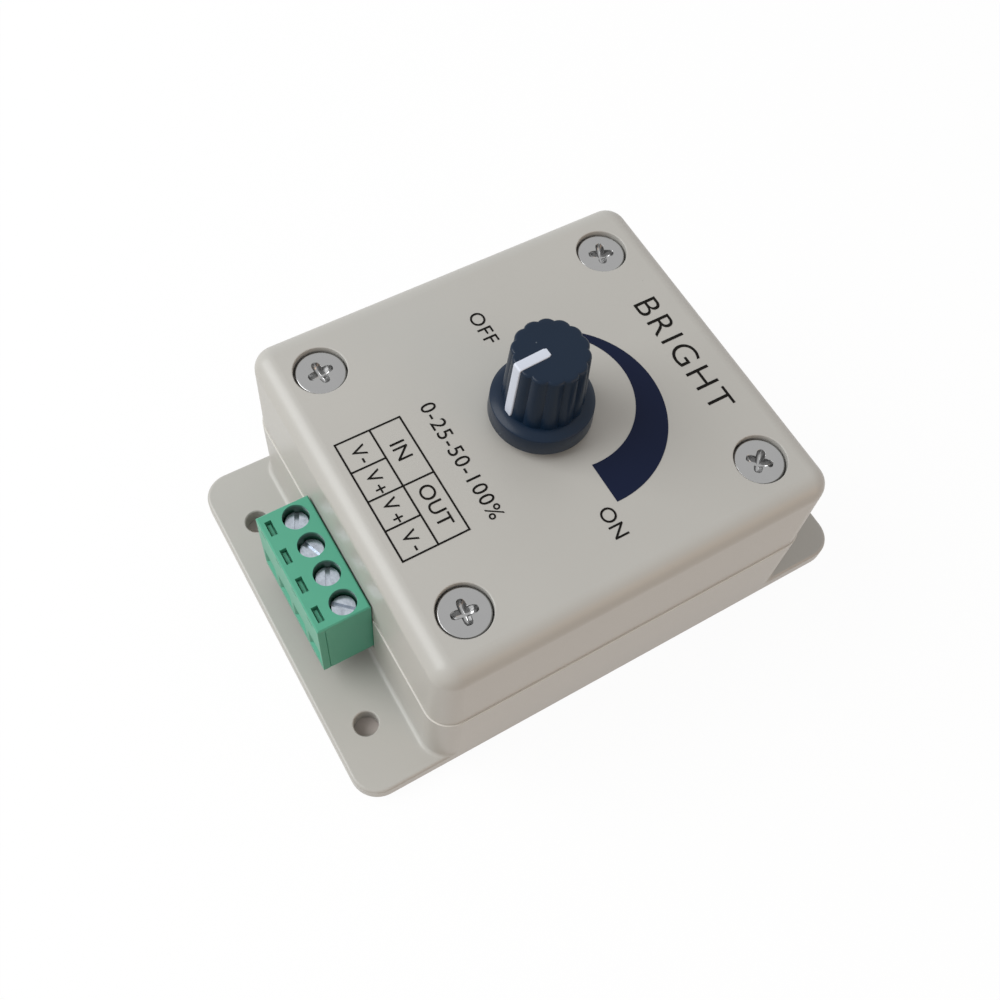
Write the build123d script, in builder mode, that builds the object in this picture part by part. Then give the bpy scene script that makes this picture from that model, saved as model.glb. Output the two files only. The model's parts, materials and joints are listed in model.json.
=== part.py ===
from build123d import *
import os
from math import cos, radians, sin

# Rotary dimmer for low-voltage light strips, in millimetres. X runs across the panel, Y up the panel, Z away
# from the surface that the box is screwed to. The origin is the centre of the underside.

# Case: a flanged base and a cover that meet at a seam
case_width = 59.1
case_length = 64.2
case_corner = 3.9
case_wall = 2.2
floor_thickness = 2.5
seam_height = 17.4
seam_bevel = 0.05
flange_length = 87.4
flange_thickness = 3.0
flange_corner = 4.3
flange_edge = 0.5
foot_fillet = 0.8
mount_hole_radius = 1.9
mount_hole_rim = 0.15
mount_inset_x = 10.45
mount_shift = 0.22
cover_step = 0.2
cover_top = 34.2
cover_draft = 1.0
cover_edge = 3.0
cover_wall = 2.0
panel_thickness = 2.2
lip_depth = 1.5
lip_thickness = 1.0
lip_gap = 0.15

# Case screws, driven from the panel into bosses of the base
screw_inset_x = 8.75
screw_inset_y = 8.3
screw_head_radius = 3.68
screw_head_height = 1.6
screw_head_sink = 0.6
screw_head_edge = 0.3
screw_head_gap = 0.22
screw_recess_edge = 0.15
screw_shank_radius = 1.45
screw_shank_gap = 0.25
screw_reach = 10.0
screw_turns = (6.0, -21.0, -7.0, 45.0)
cross_length = 4.1
cross_width = 1.0
cross_depth = 1.1
cross_draft = 12.0
thread_gap = 0.05
tip_room = 0.8
post_radius = 5.0
boss_radius = 4.0

# Circuit board, held on four standoffs and notched round the screw bosses
board_thickness = 1.6
board_gap = 0.8
board_notch_gap = 1.2
standoff_height = 2.4
standoff_radius = 2.8
standoff_inset_x = 4.05
standoff_inset_y = 14.1
board_screw_radius = 1.1
board_screw_length = 5.5
board_screw_head_radius = 2.1
board_screw_head_height = 1.3

# Printed dial arc and terminal table on the panel
print_thickness = 0.05
arc_outer_radius = 14.95
arc_outer_place = (1.98, 2.72)
arc_inner_radius = 11.37
arc_inner_place = (-0.87, 3.36)
arc_foot = 2.2
arc_end = 151.0
table_width = 19.8
table_shift = 1.15
table_margin = 4.35
table_upper_row = 4.7
table_lower_row = 5.3
table_line = 0.26

# Potentiometer, hung under the panel by its bushing
shaft_radius = 3.0
shaft_length = 15.0
shaft_slit = 1.0
shaft_slit_depth = 6.0
shaft_gap = 0.05
bushing_radius = 3.5
bushing_length = 6.5
bushing_hole_gap = 0.1
plate_thickness = 1.0
washer_radius = 5.4
washer_thickness = 0.5
nut_flats = 10.0
nut_thickness = 2.0
pot_bevel = 0.4
wafer_thickness = 1.6
wafer_tail_width = 13.0
wafer_tail_reach = 12.6
can_radius = 8.2
can_depth = 6.0
can_sheet = 0.4
can_tab_width = 2.4
can_tab_rise = 2.2
rotor_radius = 6.6
rotor_thickness = 1.8
rotor_gap = 0.5
wiper_width = 2.0
wiper_sheet = 0.3
hub_radius = 3.6
hub_gap = 0.1
lug_pitch = 5.0
lug_width = 1.6
lug_sheet = 0.5
lug_drop = 4.2
lead_radius = 0.65
lead_stagger = 2.4

# Knob: a fluted grip on a skirt, pressed on the shaft
knob_lift = 1.45
knob_height = 14.0
skirt_radius = 7.45
skirt_rim_radius = 7.32
skirt_band = 3.05
skirt_height = 3.75
skirt_bulge = 0.12
skirt_round = 0.25
skirt_wall = 1.2
grip_foot_radius = 5.82
grip_top_radius = 5.3
grip_edge = 0.4
flute_count = 14
flute_depth = 0.34
knob_bore_gap = 0.02
knob_clear = 0.3
pointer_width = 1.5
pointer_proud = 0.12
pointer_depth = 0.7
pointer_back = 0.45
pointer_drop = 0.25
pointer_turn = 2.5

# Four-way terminal plug with rising cages
way_count = 4
way_pitch = 5.0
plug_lift = 0.38
plug_height = 15.05
plug_reach = 8.15
plug_back_gap = 0.15
plug_seat_depth = 0.4
plug_seat_gap = 0.3
plug_step_rise = 0.2
plug_floor = 1.0
plug_edge = 0.2
plug_fit = 0.15
nose_length = 9.2
nose_end_wall = 0.8
notch_gap = 0.3
front_thickness = 1.2
front_drop = 1.0
front_seam = 0.12
latch_width = 2.0
latch_depth = 0.5
latch_gap = 0.26
latch_sink = 0.75
latch_hook = 0.35
slit_width = 1.6
slit_height = 0.5
entry_width = 3.0
entry_funnel = 0.45
clamp_inset = 5.15
clamp_head_radius = 1.9
clamp_head_height = 1.85
clamp_head_gap = 0.1
clamp_shank_radius = 1.25
clamp_slot_width = 0.7
clamp_slot_depth = 0.6
clamp_turns = (-25.0, 20.0, -25.0, 47.0)
clamp_seat_gap = 0.05
shoulder_thickness = 0.8
cage_width = 3.9
cage_depth = 4.0
cage_side = 0.5
cage_floor = 0.8
cage_roof = 1.6
cage_window = 4.8
cage_gap = 0.15
cage_rest = 0.2
cage_travel = 2.0
bar_width = 2.3
bar_thickness = 0.8
bar_gap = 0.25
bar_reach = 1.6
fork_width = 1.5
fork_arm = 0.55
fork_gap = 0.1
fork_web = 0.7

# Header on the board, which the plug slides into
header_height = 8.9
header_wall = 1.0
header_side = 0.9
header_back = 2.0
header_room = 0.3
pin_size = 1.0
pin_reach = 7.2
pin_gap = 0.25
pin_tail = 1.2

# Parts on the board
body_bevel = 0.2
leg_pitch = 2.54
leg_width = 0.8
leg_sheet = 0.5
leg_gap = 0.2
transistor_y = 0.0
transistor_width = 10.2
transistor_depth = 3.2
transistor_height = 9.2
transistor_lift = 3.5
tab_thickness = 1.3
tab_height = 15.8
tab_hole_radius = 1.8
tab_hole_drop = 2.8
sink_end_gap = 0.9
sink_height = 19.5
sink_plate = 1.6
sink_fin_depth = 2.2
sink_fin_count = 6
sink_fin = 0.9
sink_gap = 0.9
sink_screw_radius = 1.45
sink_screw_head_radius = 2.7
sink_screw_head_height = 2.0
chip_place = (-3.0, -6.0)
chip_length = 9.4
chip_width = 6.4
chip_height = 3.3
chip_lift = 0.6
chip_leg_count = 4
chip_leg_spread = 0.6
chip_leg_sheet = 0.25
capacitor_inset = 8.55
capacitor_y = 4.0
capacitor_radius = 5.0
capacitor_height = 16.0
capacitor_crimp = 0.35
capacitor_crimp_height = 2.6
film_x = -6.5
film_inset = 5.1
film_length = 10.0
film_width = 4.2
film_height = 8.0
film_edge = 0.6
diode_place = (8.0, -12.0)
diode_radius = 2.4
diode_length = 8.0
diode_span = 13.0
diode_lead = 0.6
resistor_place = (8.0, -3.0)
resistor_pitch = 4.2
resistor_count = 4
resistor_radius = 1.15
resistor_waist = 0.9
resistor_length = 6.2
resistor_span = 10.0
resistor_lead = 0.3
regulator_place = (-12.0, -13.0)
regulator_radius = 2.4
regulator_flat = 1.4
regulator_height = 4.7
regulator_lift = 2.5
regulator_leg = 0.45

# Heights and places that follow from the sizes above
board_top = floor_thickness + standoff_height + board_thickness
board_bottom = board_top - board_thickness
board_width = case_width - 2 * case_wall - 2 * board_gap
board_length = case_length - 2 * case_wall - 2 * board_gap
panel_under = cover_top - panel_thickness
cover_width = case_width - 2 * cover_step
cover_length = case_length - 2 * cover_step
cover_corner = case_corner - cover_step
hollow_width = cover_width - 2 * cover_wall
hollow_length = cover_length - 2 * cover_wall
lip_width = case_width - 2 * (case_wall + lip_gap)
lip_length = case_length - 2 * (case_wall + lip_gap)
wall_face = -case_length / 2
cover_face = -cover_length / 2
screw_head_top = cover_top - screw_head_sink
screw_seat = screw_head_top - screw_head_height
screw_recess_radius = screw_head_radius + screw_head_gap
screw_x = case_width / 2 - screw_inset_x
screw_y = case_length / 2 - screw_inset_y
screw_places = [(sx * screw_x, sy * screw_y) for sx in (-1, 1) for sy in (-1, 1)]
mount_spacing_x = case_width - 2 * mount_inset_x
mount_spacing_y = (case_length + flange_length) / 2 + 2 * mount_shift
standoff_spacing_x = board_width - 2 * standoff_inset_x
standoff_spacing_y = board_length - 2 * standoff_inset_y
table_height = table_upper_row + table_lower_row
table_place = (table_shift, table_margin + table_height / 2 - cover_length / 2)

plug_width = way_count * way_pitch
plug_bottom = board_top + plug_lift
plug_top = plug_bottom + plug_height
plug_front = wall_face - plug_reach
plug_upper_back = cover_face - plug_back_gap
plug_lower_back = wall_face + plug_seat_depth
plug_step = board_top + header_height + plug_step_rise
nose_end = plug_lower_back + nose_length
way_places = [(index - (way_count - 1) / 2) * way_pitch for index in range(way_count)]
clamp_y = plug_front + clamp_inset
header_front = plug_lower_back + plug_seat_gap
header_inner = nose_end + header_room
header_rear = header_inner + header_back
notch_bottom = board_top - notch_gap
notch_width = plug_width + 2 * notch_gap
pin_height = board_top + header_height / 2
pin_tip = header_inner - pin_reach
pin_turn = header_rear + pin_tail

cell_bottom = plug_bottom + plug_floor
cage_bottom = cell_bottom + cage_rest
window_bottom = cage_bottom + cage_floor
window_top = window_bottom + cage_window
cage_top = window_top + cage_roof
cell_top = cage_top + cage_travel + cage_rest
shoulder_top = cell_top + shoulder_thickness
bar_top = window_top - bar_gap
bar_bottom = bar_top - bar_thickness
clamp_tip = bar_top + clamp_head_gap
clamp_seat = shoulder_top + clamp_seat_gap
clamp_head_top = clamp_seat + clamp_head_height
front_back = plug_front + front_thickness
front_top = plug_top - front_drop
entry_bottom = window_bottom
entry_top = bar_bottom

plate_bottom = panel_under - plate_thickness
wafer_bottom = plate_bottom - wafer_thickness
can_bottom = wafer_bottom - can_depth
bushing_top = panel_under + bushing_length
shaft_top = panel_under + shaft_length
rotor_top = wafer_bottom - wiper_sheet - rotor_gap
rotor_bottom = rotor_top - rotor_thickness
nut_bottom = cover_top + washer_thickness
nut_top = nut_bottom + nut_thickness
knob_bottom = cover_top + knob_lift
knob_top = knob_bottom + knob_height
skirt_top = knob_bottom + skirt_height
grip_foot = knob_bottom + skirt_band
lug_y = wafer_tail_reach - lug_width / 2
lug_places = [index * lug_pitch for index in (-1, 0, 1)]
sink_length = standoff_spacing_y - 2 * (board_screw_head_radius + sink_end_gap)
sink_rear = lip_width / 2 - lip_thickness - sink_gap
sink_face = sink_rear - sink_fin_depth - sink_plate
tab_face = sink_face - tab_thickness
transistor_place = (tab_face - transistor_depth / 2, transistor_y)
capacitor_place = (capacitor_inset - board_width / 2, capacitor_y)
film_place = (film_x, board_length / 2 - film_inset)
leg_places = [(transistor_place[0], transistor_place[1] + index * leg_pitch) for index in (-1, 0, 1)]
chip_middle = board_top + chip_lift + chip_height / 2
transistor_bottom = board_top + transistor_lift
tab_hole_height = transistor_bottom + tab_height - tab_hole_drop

def crest_radius(height):
    """Radius of the grip's ribs at a height, on the straight taper from foot to top."""
    share = (height - grip_foot) / (knob_top - grip_foot)
    return grip_foot_radius + share * (grip_top_radius - grip_foot_radius)


def lobe_radius(crest):
    """Radius of a rib's round face, so that neighbours meet flute_depth below the crest."""
    groove = crest - flute_depth
    turn = cos(radians(180 / flute_count))
    return (crest**2 + groove**2 - 2 * crest * groove * turn) / (2 * (crest - groove * turn))


first_rib = pointer_turn - 90 + 180 / flute_count
pointer_plane = Plane.YZ.rotated((0, 0, pointer_turn))
pointer_rim = crest_radius(knob_top - grip_edge)
pointer_bottom = skirt_top - pointer_drop
pointer_foot = crest_radius(pointer_bottom)
pointer_outline = [
    (-pointer_back, knob_top + pointer_proud),
    (-(pointer_rim - grip_edge / 2), knob_top + pointer_proud),
    (-(pointer_rim + pointer_proud), knob_top - grip_edge / 2),
    (-(pointer_foot + pointer_proud), pointer_bottom),
    (-(pointer_foot - pointer_depth), pointer_bottom),
    (-(pointer_rim - pointer_depth), knob_top - pointer_depth),
    (-pointer_back, knob_top - pointer_depth),
]

os.makedirs("parts", exist_ok=True)


# Base: flange, walls, screw bosses, board standoffs and the notch for the terminal
with BuildPart() as case_base:
    with BuildSketch():
        RectangleRounded(case_width, flange_length, flange_corner)
    extrude(amount=flange_thickness)
    fillet(case_base.edges().filter_by(Axis.Z, reverse=True), flange_edge)
    with BuildSketch(Plane.XY.offset(flange_thickness - flange_edge)):
        RectangleRounded(case_width, case_length + 2 * foot_fillet, case_corner)
    for angle in range(0, 91, 15):
        rise = foot_fillet * (1 - cos(radians(angle)))
        spread = foot_fillet * (1 - sin(radians(angle)))
        with BuildSketch(Plane.XY.offset(flange_thickness + rise)):
            RectangleRounded(case_width, case_length + 2 * spread, case_corner)
    loft(ruled=True)
    with BuildSketch(Plane.XY.offset(flange_thickness / 2)):
        RectangleRounded(case_width, case_length, case_corner)
    extrude(amount=seam_height - flange_thickness / 2)
    chamfer(case_base.faces().sort_by(Axis.Z)[-1].edges(), seam_bevel)
    with BuildSketch(Plane.XY.offset(floor_thickness)):
        RectangleRounded(case_width - 2 * case_wall, case_length - 2 * case_wall, case_corner - case_wall)
    extrude(amount=seam_height - floor_thickness, mode=Mode.SUBTRACT)
    with BuildSketch(Plane.XY.offset(floor_thickness)):
        with Locations(*screw_places):
            Circle(boss_radius)
    extrude(amount=seam_height - floor_thickness)
    with BuildSketch(Plane.XY.offset(floor_thickness)):
        with GridLocations(standoff_spacing_x, standoff_spacing_y, 2, 2):
            Circle(standoff_radius)
    extrude(amount=standoff_height)
    with BuildSketch(Plane.XY.offset(seam_height)):
        with Locations(*screw_places):
            Circle(screw_shank_radius + thread_gap)
    extrude(amount=-(screw_reach + tip_room), mode=Mode.SUBTRACT)
    with BuildSketch(Plane.XY.offset(board_bottom)):
        with GridLocations(standoff_spacing_x, standoff_spacing_y, 2, 2):
            Circle(board_screw_radius + thread_gap)
    extrude(amount=-(board_screw_length - board_thickness + thread_gap), mode=Mode.SUBTRACT)
    with BuildSketch():
        with GridLocations(mount_spacing_x, mount_spacing_y, 2, 2):
            Circle(mount_hole_radius)
    extrude(amount=flange_thickness, mode=Mode.SUBTRACT)
    rounds = case_base.edges().filter_by(GeomType.CIRCLE)
    rims = rounds.filter_by_position(Axis.Z, flange_thickness, flange_thickness)
    chamfer(rims.filter_by(lambda edge: edge.radius == mount_hole_radius), mount_hole_rim)
    with BuildSketch(Plane.XZ.offset(-wall_face)):
        with Locations((0, (notch_bottom + seam_height) / 2)):
            Rectangle(notch_width, seam_height - notch_bottom)
    extrude(amount=-case_wall, mode=Mode.SUBTRACT)
case_base.part.label = "case_base"
export_step(case_base.part, "parts/case_base.step")


# Cover: a drafted shell with the panel, screw posts, an inner lip clear of the header, and a notch tab
with BuildPart() as case_cover:
    with BuildSketch(Plane.XY.offset(seam_height)):
        RectangleRounded(cover_width, cover_length, cover_corner)
    extrude(amount=cover_top - seam_height, taper=cover_draft)
    fillet(case_cover.faces().sort_by(Axis.Z)[-1].edges(), cover_edge)
    with BuildSketch(Plane.XY.offset(seam_height)):
        RectangleRounded(hollow_width, hollow_length, cover_corner - cover_wall)
    extrude(amount=panel_under - seam_height, taper=cover_draft, mode=Mode.SUBTRACT)
    chamfer(case_cover.faces().sort_by(Axis.Z)[0].outer_wire().edges(), seam_bevel)
    with BuildSketch(Plane.XY.offset(seam_height)):
        with Locations(*screw_places):
            Circle(post_radius)
    extrude(amount=panel_under - seam_height)
    with BuildSketch(Plane.XY.offset(seam_height)):
        Rectangle(hollow_width, hollow_length)
        Rectangle(lip_width - 2 * lip_thickness, lip_length - 2 * lip_thickness, mode=Mode.SUBTRACT)
    extrude(amount=lip_depth)
    with BuildSketch(Plane.XY.offset(seam_height - lip_depth)):
        RectangleRounded(lip_width, lip_length, case_corner - case_wall)
        Rectangle(lip_width - 2 * lip_thickness, lip_length - 2 * lip_thickness, mode=Mode.SUBTRACT)
    extrude(amount=lip_depth)
    with BuildSketch(Plane.XZ.offset(-header_front)):
        with Locations((0, board_top + (header_height + notch_gap) / 2)):
            Rectangle(notch_width, header_height + notch_gap)
    extrude(amount=header_front - header_rear, mode=Mode.SUBTRACT)
    with BuildSketch(Plane.XZ.offset(-cover_face)):
        with Locations((0, (plug_step + notch_gap + seam_height + lip_depth) / 2)):
            Rectangle(plug_width, seam_height + lip_depth - plug_step - notch_gap)
    extrude(amount=-(cover_wall - lip_gap))
    with BuildSketch(Plane.XY.offset(cover_top)):
        with Locations(*screw_places):
            Circle(screw_recess_radius)
    extrude(amount=screw_seat - cover_top, mode=Mode.SUBTRACT)
    rims = case_cover.faces().filter_by(Plane.XY).sort_by(Axis.Z)[-1].inner_wires()
    fillet([rim.edges() for rim in rims], screw_recess_edge)
    with BuildSketch(Plane.XY.offset(seam_height)):
        with Locations(*screw_places):
            Circle(screw_shank_radius + screw_shank_gap)
    extrude(amount=screw_seat - seam_height, mode=Mode.SUBTRACT)
    with BuildSketch(Plane.XY.offset(panel_under)):
        Circle(bushing_radius + bushing_hole_gap)
    extrude(amount=panel_thickness, mode=Mode.SUBTRACT)
case_cover.part.label = "case_cover"
export_step(case_cover.part, "parts/case_cover.step")


# Case screws: flat heads with a drafted cross recess and a pointed shank
with BuildPart() as case_screws:
    with BuildSketch(Plane.XY.offset(screw_seat)):
        with Locations(*screw_places):
            Circle(screw_head_radius)
    extrude(amount=screw_head_height)
    fillet(case_screws.edges().group_by(Axis.Z)[-1], screw_head_edge)
    with BuildSketch(Plane.XY.offset(seam_height - screw_reach)):
        with Locations(*screw_places):
            Circle(screw_shank_radius)
    extrude(amount=screw_seat - seam_height + screw_reach)
    tips = case_screws.edges().group_by(Axis.Z)[0]
    chamfer(tips, length=2 * screw_shank_radius, length2=screw_shank_radius / 2)
    with BuildSketch(Plane.XY.offset(screw_head_top)):
        for place, turn in zip(screw_places, screw_turns):
            with Locations(place):
                Rectangle(cross_length, cross_width, rotation=turn)
                Rectangle(cross_width, cross_length, rotation=turn)
    extrude(amount=-cross_depth, taper=cross_draft, mode=Mode.SUBTRACT)
case_screws.part.label = "case_screws"
export_step(case_screws.part, "parts/case_screws.step")


# Dial arc: the band between two off-centre circles, so it swells from the OFF end to the ON end
with BuildPart() as dial_arc:
    with BuildSketch(Plane.XY.offset(cover_top)):
        with Locations(arc_outer_place):
            Circle(arc_outer_radius)
        with Locations(arc_inner_place):
            Circle(arc_inner_radius, mode=Mode.SUBTRACT)
        with BuildLine():
            reach = 2 * arc_outer_radius
            Polyline(
                (0, arc_foot),
                (reach, arc_foot),
                (reach, reach),
                (reach * cos(radians(arc_end)), reach * sin(radians(arc_end))),
                close=True,
            )
        make_face(mode=Mode.INTERSECT)
    extrude(amount=print_thickness)
dial_arc.part.label = "dial_arc"
export_step(dial_arc.part, "parts/dial_arc.step")


# Terminal table: two cells over four
with BuildPart() as legend_table:
    with BuildSketch(Plane.XY.offset(cover_top)):
        with Locations(table_place):
            Rectangle(table_width + table_line, table_height + table_line)
        with Locations((table_place[0], table_place[1] + table_lower_row / 2)):
            with GridLocations(table_width / 2, 1, 2, 1):
                Rectangle(table_width / 2 - table_line, table_upper_row - table_line, mode=Mode.SUBTRACT)
        with Locations((table_place[0], table_place[1] - table_upper_row / 2)):
            cell = table_width / way_count
            with GridLocations(cell, 1, way_count, 1):
                Rectangle(cell - table_line, table_lower_row - table_line, mode=Mode.SUBTRACT)
    extrude(amount=print_thickness)
legend_table.part.label = "legend_table"
export_step(legend_table.part, "parts/legend_table.step")


# Circuit board: notched at its corners, with holes for pins, leads and screws
with BuildPart() as circuit_board:
    with BuildSketch(Plane.XY.offset(board_bottom)):
        Rectangle(board_width, board_length)
        for sx, sy in screw_places:
            with Locations((sx, sy)):
                Rectangle(
                    2 * max(boss_radius + board_notch_gap, board_width / 2 - abs(sx)),
                    2 * max(boss_radius + board_notch_gap, board_length / 2 - abs(sy)),
                    mode=Mode.SUBTRACT,
                )
        with GridLocations(standoff_spacing_x, standoff_spacing_y, 2, 2):
            Circle(board_screw_radius + thread_gap, mode=Mode.SUBTRACT)
        with Locations(*[(way, pin_turn) for way in way_places]):
            Rectangle(pin_size + 2 * leg_gap, pin_size + 2 * leg_gap, mode=Mode.SUBTRACT)
        with Locations(*leg_places):
            Rectangle(leg_sheet + 2 * leg_gap, leg_width + 2 * leg_gap, mode=Mode.SUBTRACT)
    extrude(amount=board_thickness)
circuit_board.part.label = "circuit_board"
export_step(circuit_board.part, "parts/circuit_board.step")


# Board screws: pan heads on the board, shanks in the standoffs
with BuildPart() as board_screws:
    with BuildSketch(Plane.XY.offset(board_top)):
        with GridLocations(standoff_spacing_x, standoff_spacing_y, 2, 2):
            Circle(board_screw_head_radius)
    extrude(amount=board_screw_head_height)
    fillet(board_screws.edges().group_by(Axis.Z)[-1], board_screw_head_height / 2)
    with BuildSketch(Plane.XY.offset(board_top - board_screw_length)):
        with GridLocations(standoff_spacing_x, standoff_spacing_y, 2, 2):
            Circle(board_screw_radius)
    extrude(amount=board_screw_length)
board_screws.part.label = "board_screws"
export_step(board_screws.part, "parts/board_screws.step")


# Plug housing: stepped body and nose, with a clamp cell, a contact channel and a screw well for each way
with BuildPart() as plug_housing:
    with BuildSketch(Plane.YZ):
        with BuildLine():
            Polyline(
                (plug_front, plug_bottom),
                (plug_lower_back, plug_bottom),
                (plug_lower_back, plug_step),
                (plug_upper_back, plug_step),
                (plug_upper_back, plug_top),
                (plug_front, plug_top),
                close=True,
            )
        make_face()
    extrude(amount=plug_width / 2, both=True)
    chamfer(plug_housing.faces().sort_by(Axis.Z)[-1].edges(), plug_edge)
    nose_bottom = board_top + header_wall + plug_fit
    nose_top = board_top + header_height - header_wall - plug_fit
    with BuildSketch(Plane.XZ.offset(-plug_lower_back)):
        with Locations((0, (nose_bottom + nose_top) / 2)):
            Rectangle(plug_width - 2 * (header_side + plug_fit), nose_top - nose_bottom)
    extrude(amount=-nose_length)
    chamfer(plug_housing.faces().sort_by(Axis.Y)[-1].edges(), plug_edge)
    with BuildSketch(Plane.XZ.offset(-plug_front)):
        with Locations((0, (plug_bottom + front_top) / 2)):
            Rectangle(plug_width, front_top - plug_bottom)
    extrude(amount=-front_thickness, mode=Mode.SUBTRACT)
    with BuildSketch(Plane.XY.offset(cell_bottom)):
        with Locations(*[(way, clamp_y) for way in way_places]):
            Rectangle(cage_width + 2 * cage_gap, cage_depth + 2 * cage_gap)
    extrude(amount=cell_top - cell_bottom, mode=Mode.SUBTRACT)
    with BuildSketch(Plane.XY.offset(cell_top)):
        with Locations(*[(way, clamp_y) for way in way_places]):
            Circle(clamp_shank_radius + clamp_head_gap)
    extrude(amount=shoulder_thickness, mode=Mode.SUBTRACT)
    with BuildSketch(Plane.XY.offset(shoulder_top)):
        with Locations(*[(way, clamp_y) for way in way_places]):
            Circle(clamp_head_radius + clamp_head_gap)
    extrude(amount=plug_top - shoulder_top, mode=Mode.SUBTRACT)
    with BuildSketch(Plane.XZ.offset(-front_back)):
        with Locations(*[(way, (entry_bottom + entry_top) / 2) for way in way_places]):
            Rectangle(entry_width, entry_top - entry_bottom)
    extrude(amount=front_back - clamp_y, mode=Mode.SUBTRACT)
    with BuildSketch(Plane.XZ.offset(-clamp_y)):
        with Locations(*[(way, (bar_bottom - fork_web + bar_top) / 2) for way in way_places]):
            Rectangle(bar_width + 2 * fork_gap, bar_thickness + fork_web)
    extrude(amount=clamp_y - plug_lower_back, mode=Mode.SUBTRACT)
    fork_half = pin_size / 2 + fork_gap + fork_arm
    with BuildSketch(Plane.XZ.offset(-plug_lower_back + fork_web + fork_gap)):
        with Locations(*[(way, (pin_height - fork_half - fork_gap + bar_top) / 2) for way in way_places]):
            Rectangle(fork_width + 2 * fork_gap, bar_top - pin_height + fork_half + fork_gap)
    extrude(amount=-(nose_length - nose_end_wall + fork_web + fork_gap), mode=Mode.SUBTRACT)
    with BuildSketch(Plane.XZ.offset(-nose_end)):
        with Locations(*[(way, pin_height) for way in way_places]):
            Rectangle(pin_size + 2 * pin_gap, pin_size + 2 * pin_gap)
    extrude(amount=nose_end_wall, mode=Mode.SUBTRACT)
    latch_y = front_back + latch_hook - latch_depth / 2
    with BuildSketch(Plane.XY.offset(plug_top)):
        with Locations(*[(way, latch_y) for way in way_places]):
            Rectangle(latch_width + 2 * latch_gap, latch_depth + 2 * latch_gap)
    extrude(amount=-(front_drop + latch_gap), mode=Mode.SUBTRACT)
plug_housing.part.label = "plug_housing"
export_step(plug_housing.part, "parts/plug_housing.step")


# Plug front: a snap-in plate with funnelled wire entries, latch tabs and the slits above them
with BuildPart() as plug_front_cover:
    with BuildSketch(Plane.XZ.offset(-plug_front)):
        with Locations((0, (plug_bottom + front_top) / 2)):
            Rectangle(plug_width, front_top - plug_bottom)
        with Locations(*[(way, front_top - slit_height / 2) for way in way_places]):
            Rectangle(slit_width, slit_height, mode=Mode.SUBTRACT)
        with Locations(*[(way, (entry_bottom + entry_top) / 2) for way in way_places]):
            Rectangle(entry_width, entry_top - entry_bottom, mode=Mode.SUBTRACT)
    extrude(amount=-front_thickness)
    mouths = plug_front_cover.faces().sort_by(Axis.Y)[0].inner_wires()
    chamfer([mouth.edges() for mouth in mouths], entry_funnel)
    ends = plug_front_cover.faces().sort_by(Axis.Y)[-1].outer_wire().edges().filter_by(Axis.Z)
    chamfer([ends.sort_by(Axis.X)[0], ends.sort_by(Axis.X)[-1]], front_seam)
    with BuildSketch(Plane.XY.offset(front_top - slit_height)):
        with Locations(*[(way, (front_back + latch_y - latch_depth / 2) / 2) for way in way_places]):
            Rectangle(latch_width, front_back - latch_y + latch_depth / 2)
    extrude(amount=slit_height)
    with BuildSketch(Plane.XY.offset(front_top)):
        with Locations(*[(way, latch_y) for way in way_places]):
            Rectangle(latch_width, latch_depth)
    extrude(amount=front_drop - latch_sink)
plug_front_cover.part.label = "plug_front_cover"
export_step(plug_front_cover.part, "parts/plug_front_cover.step")


# Plug contacts: a busbar through the cage, a web, and a fork that grips the header pin
with BuildPart() as plug_contacts:
    web_y = plug_lower_back - fork_web
    for way in way_places:
        with BuildSketch(Plane.YZ.offset(way)):
            with BuildLine():
                Polyline(
                    (clamp_y - bar_reach, bar_bottom),
                    (web_y, bar_bottom),
                    (web_y, bar_top),
                    (clamp_y - bar_reach, bar_top),
                    close=True,
                )
            make_face()
        extrude(amount=bar_width / 2, both=True)
        with BuildSketch(Plane.YZ.offset(way)):
            with BuildLine():
                grip = pin_size / 2 + fork_gap
                fork_tip = nose_end - nose_end_wall - fork_gap
                Polyline(
                    (web_y, pin_height - grip - fork_arm),
                    (fork_tip, pin_height - grip - fork_arm),
                    (fork_tip, pin_height - grip),
                    (plug_lower_back, pin_height - grip),
                    (plug_lower_back, pin_height + grip),
                    (fork_tip, pin_height + grip),
                    (fork_tip, pin_height + grip + fork_arm),
                    (plug_lower_back, pin_height + grip + fork_arm),
                    (plug_lower_back, bar_top),
                    (web_y, bar_top),
                    close=True,
                )
            make_face()
        extrude(amount=fork_width / 2, both=True)
plug_contacts.part.label = "plug_contacts"
export_step(plug_contacts.part, "parts/plug_contacts.step")


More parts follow.
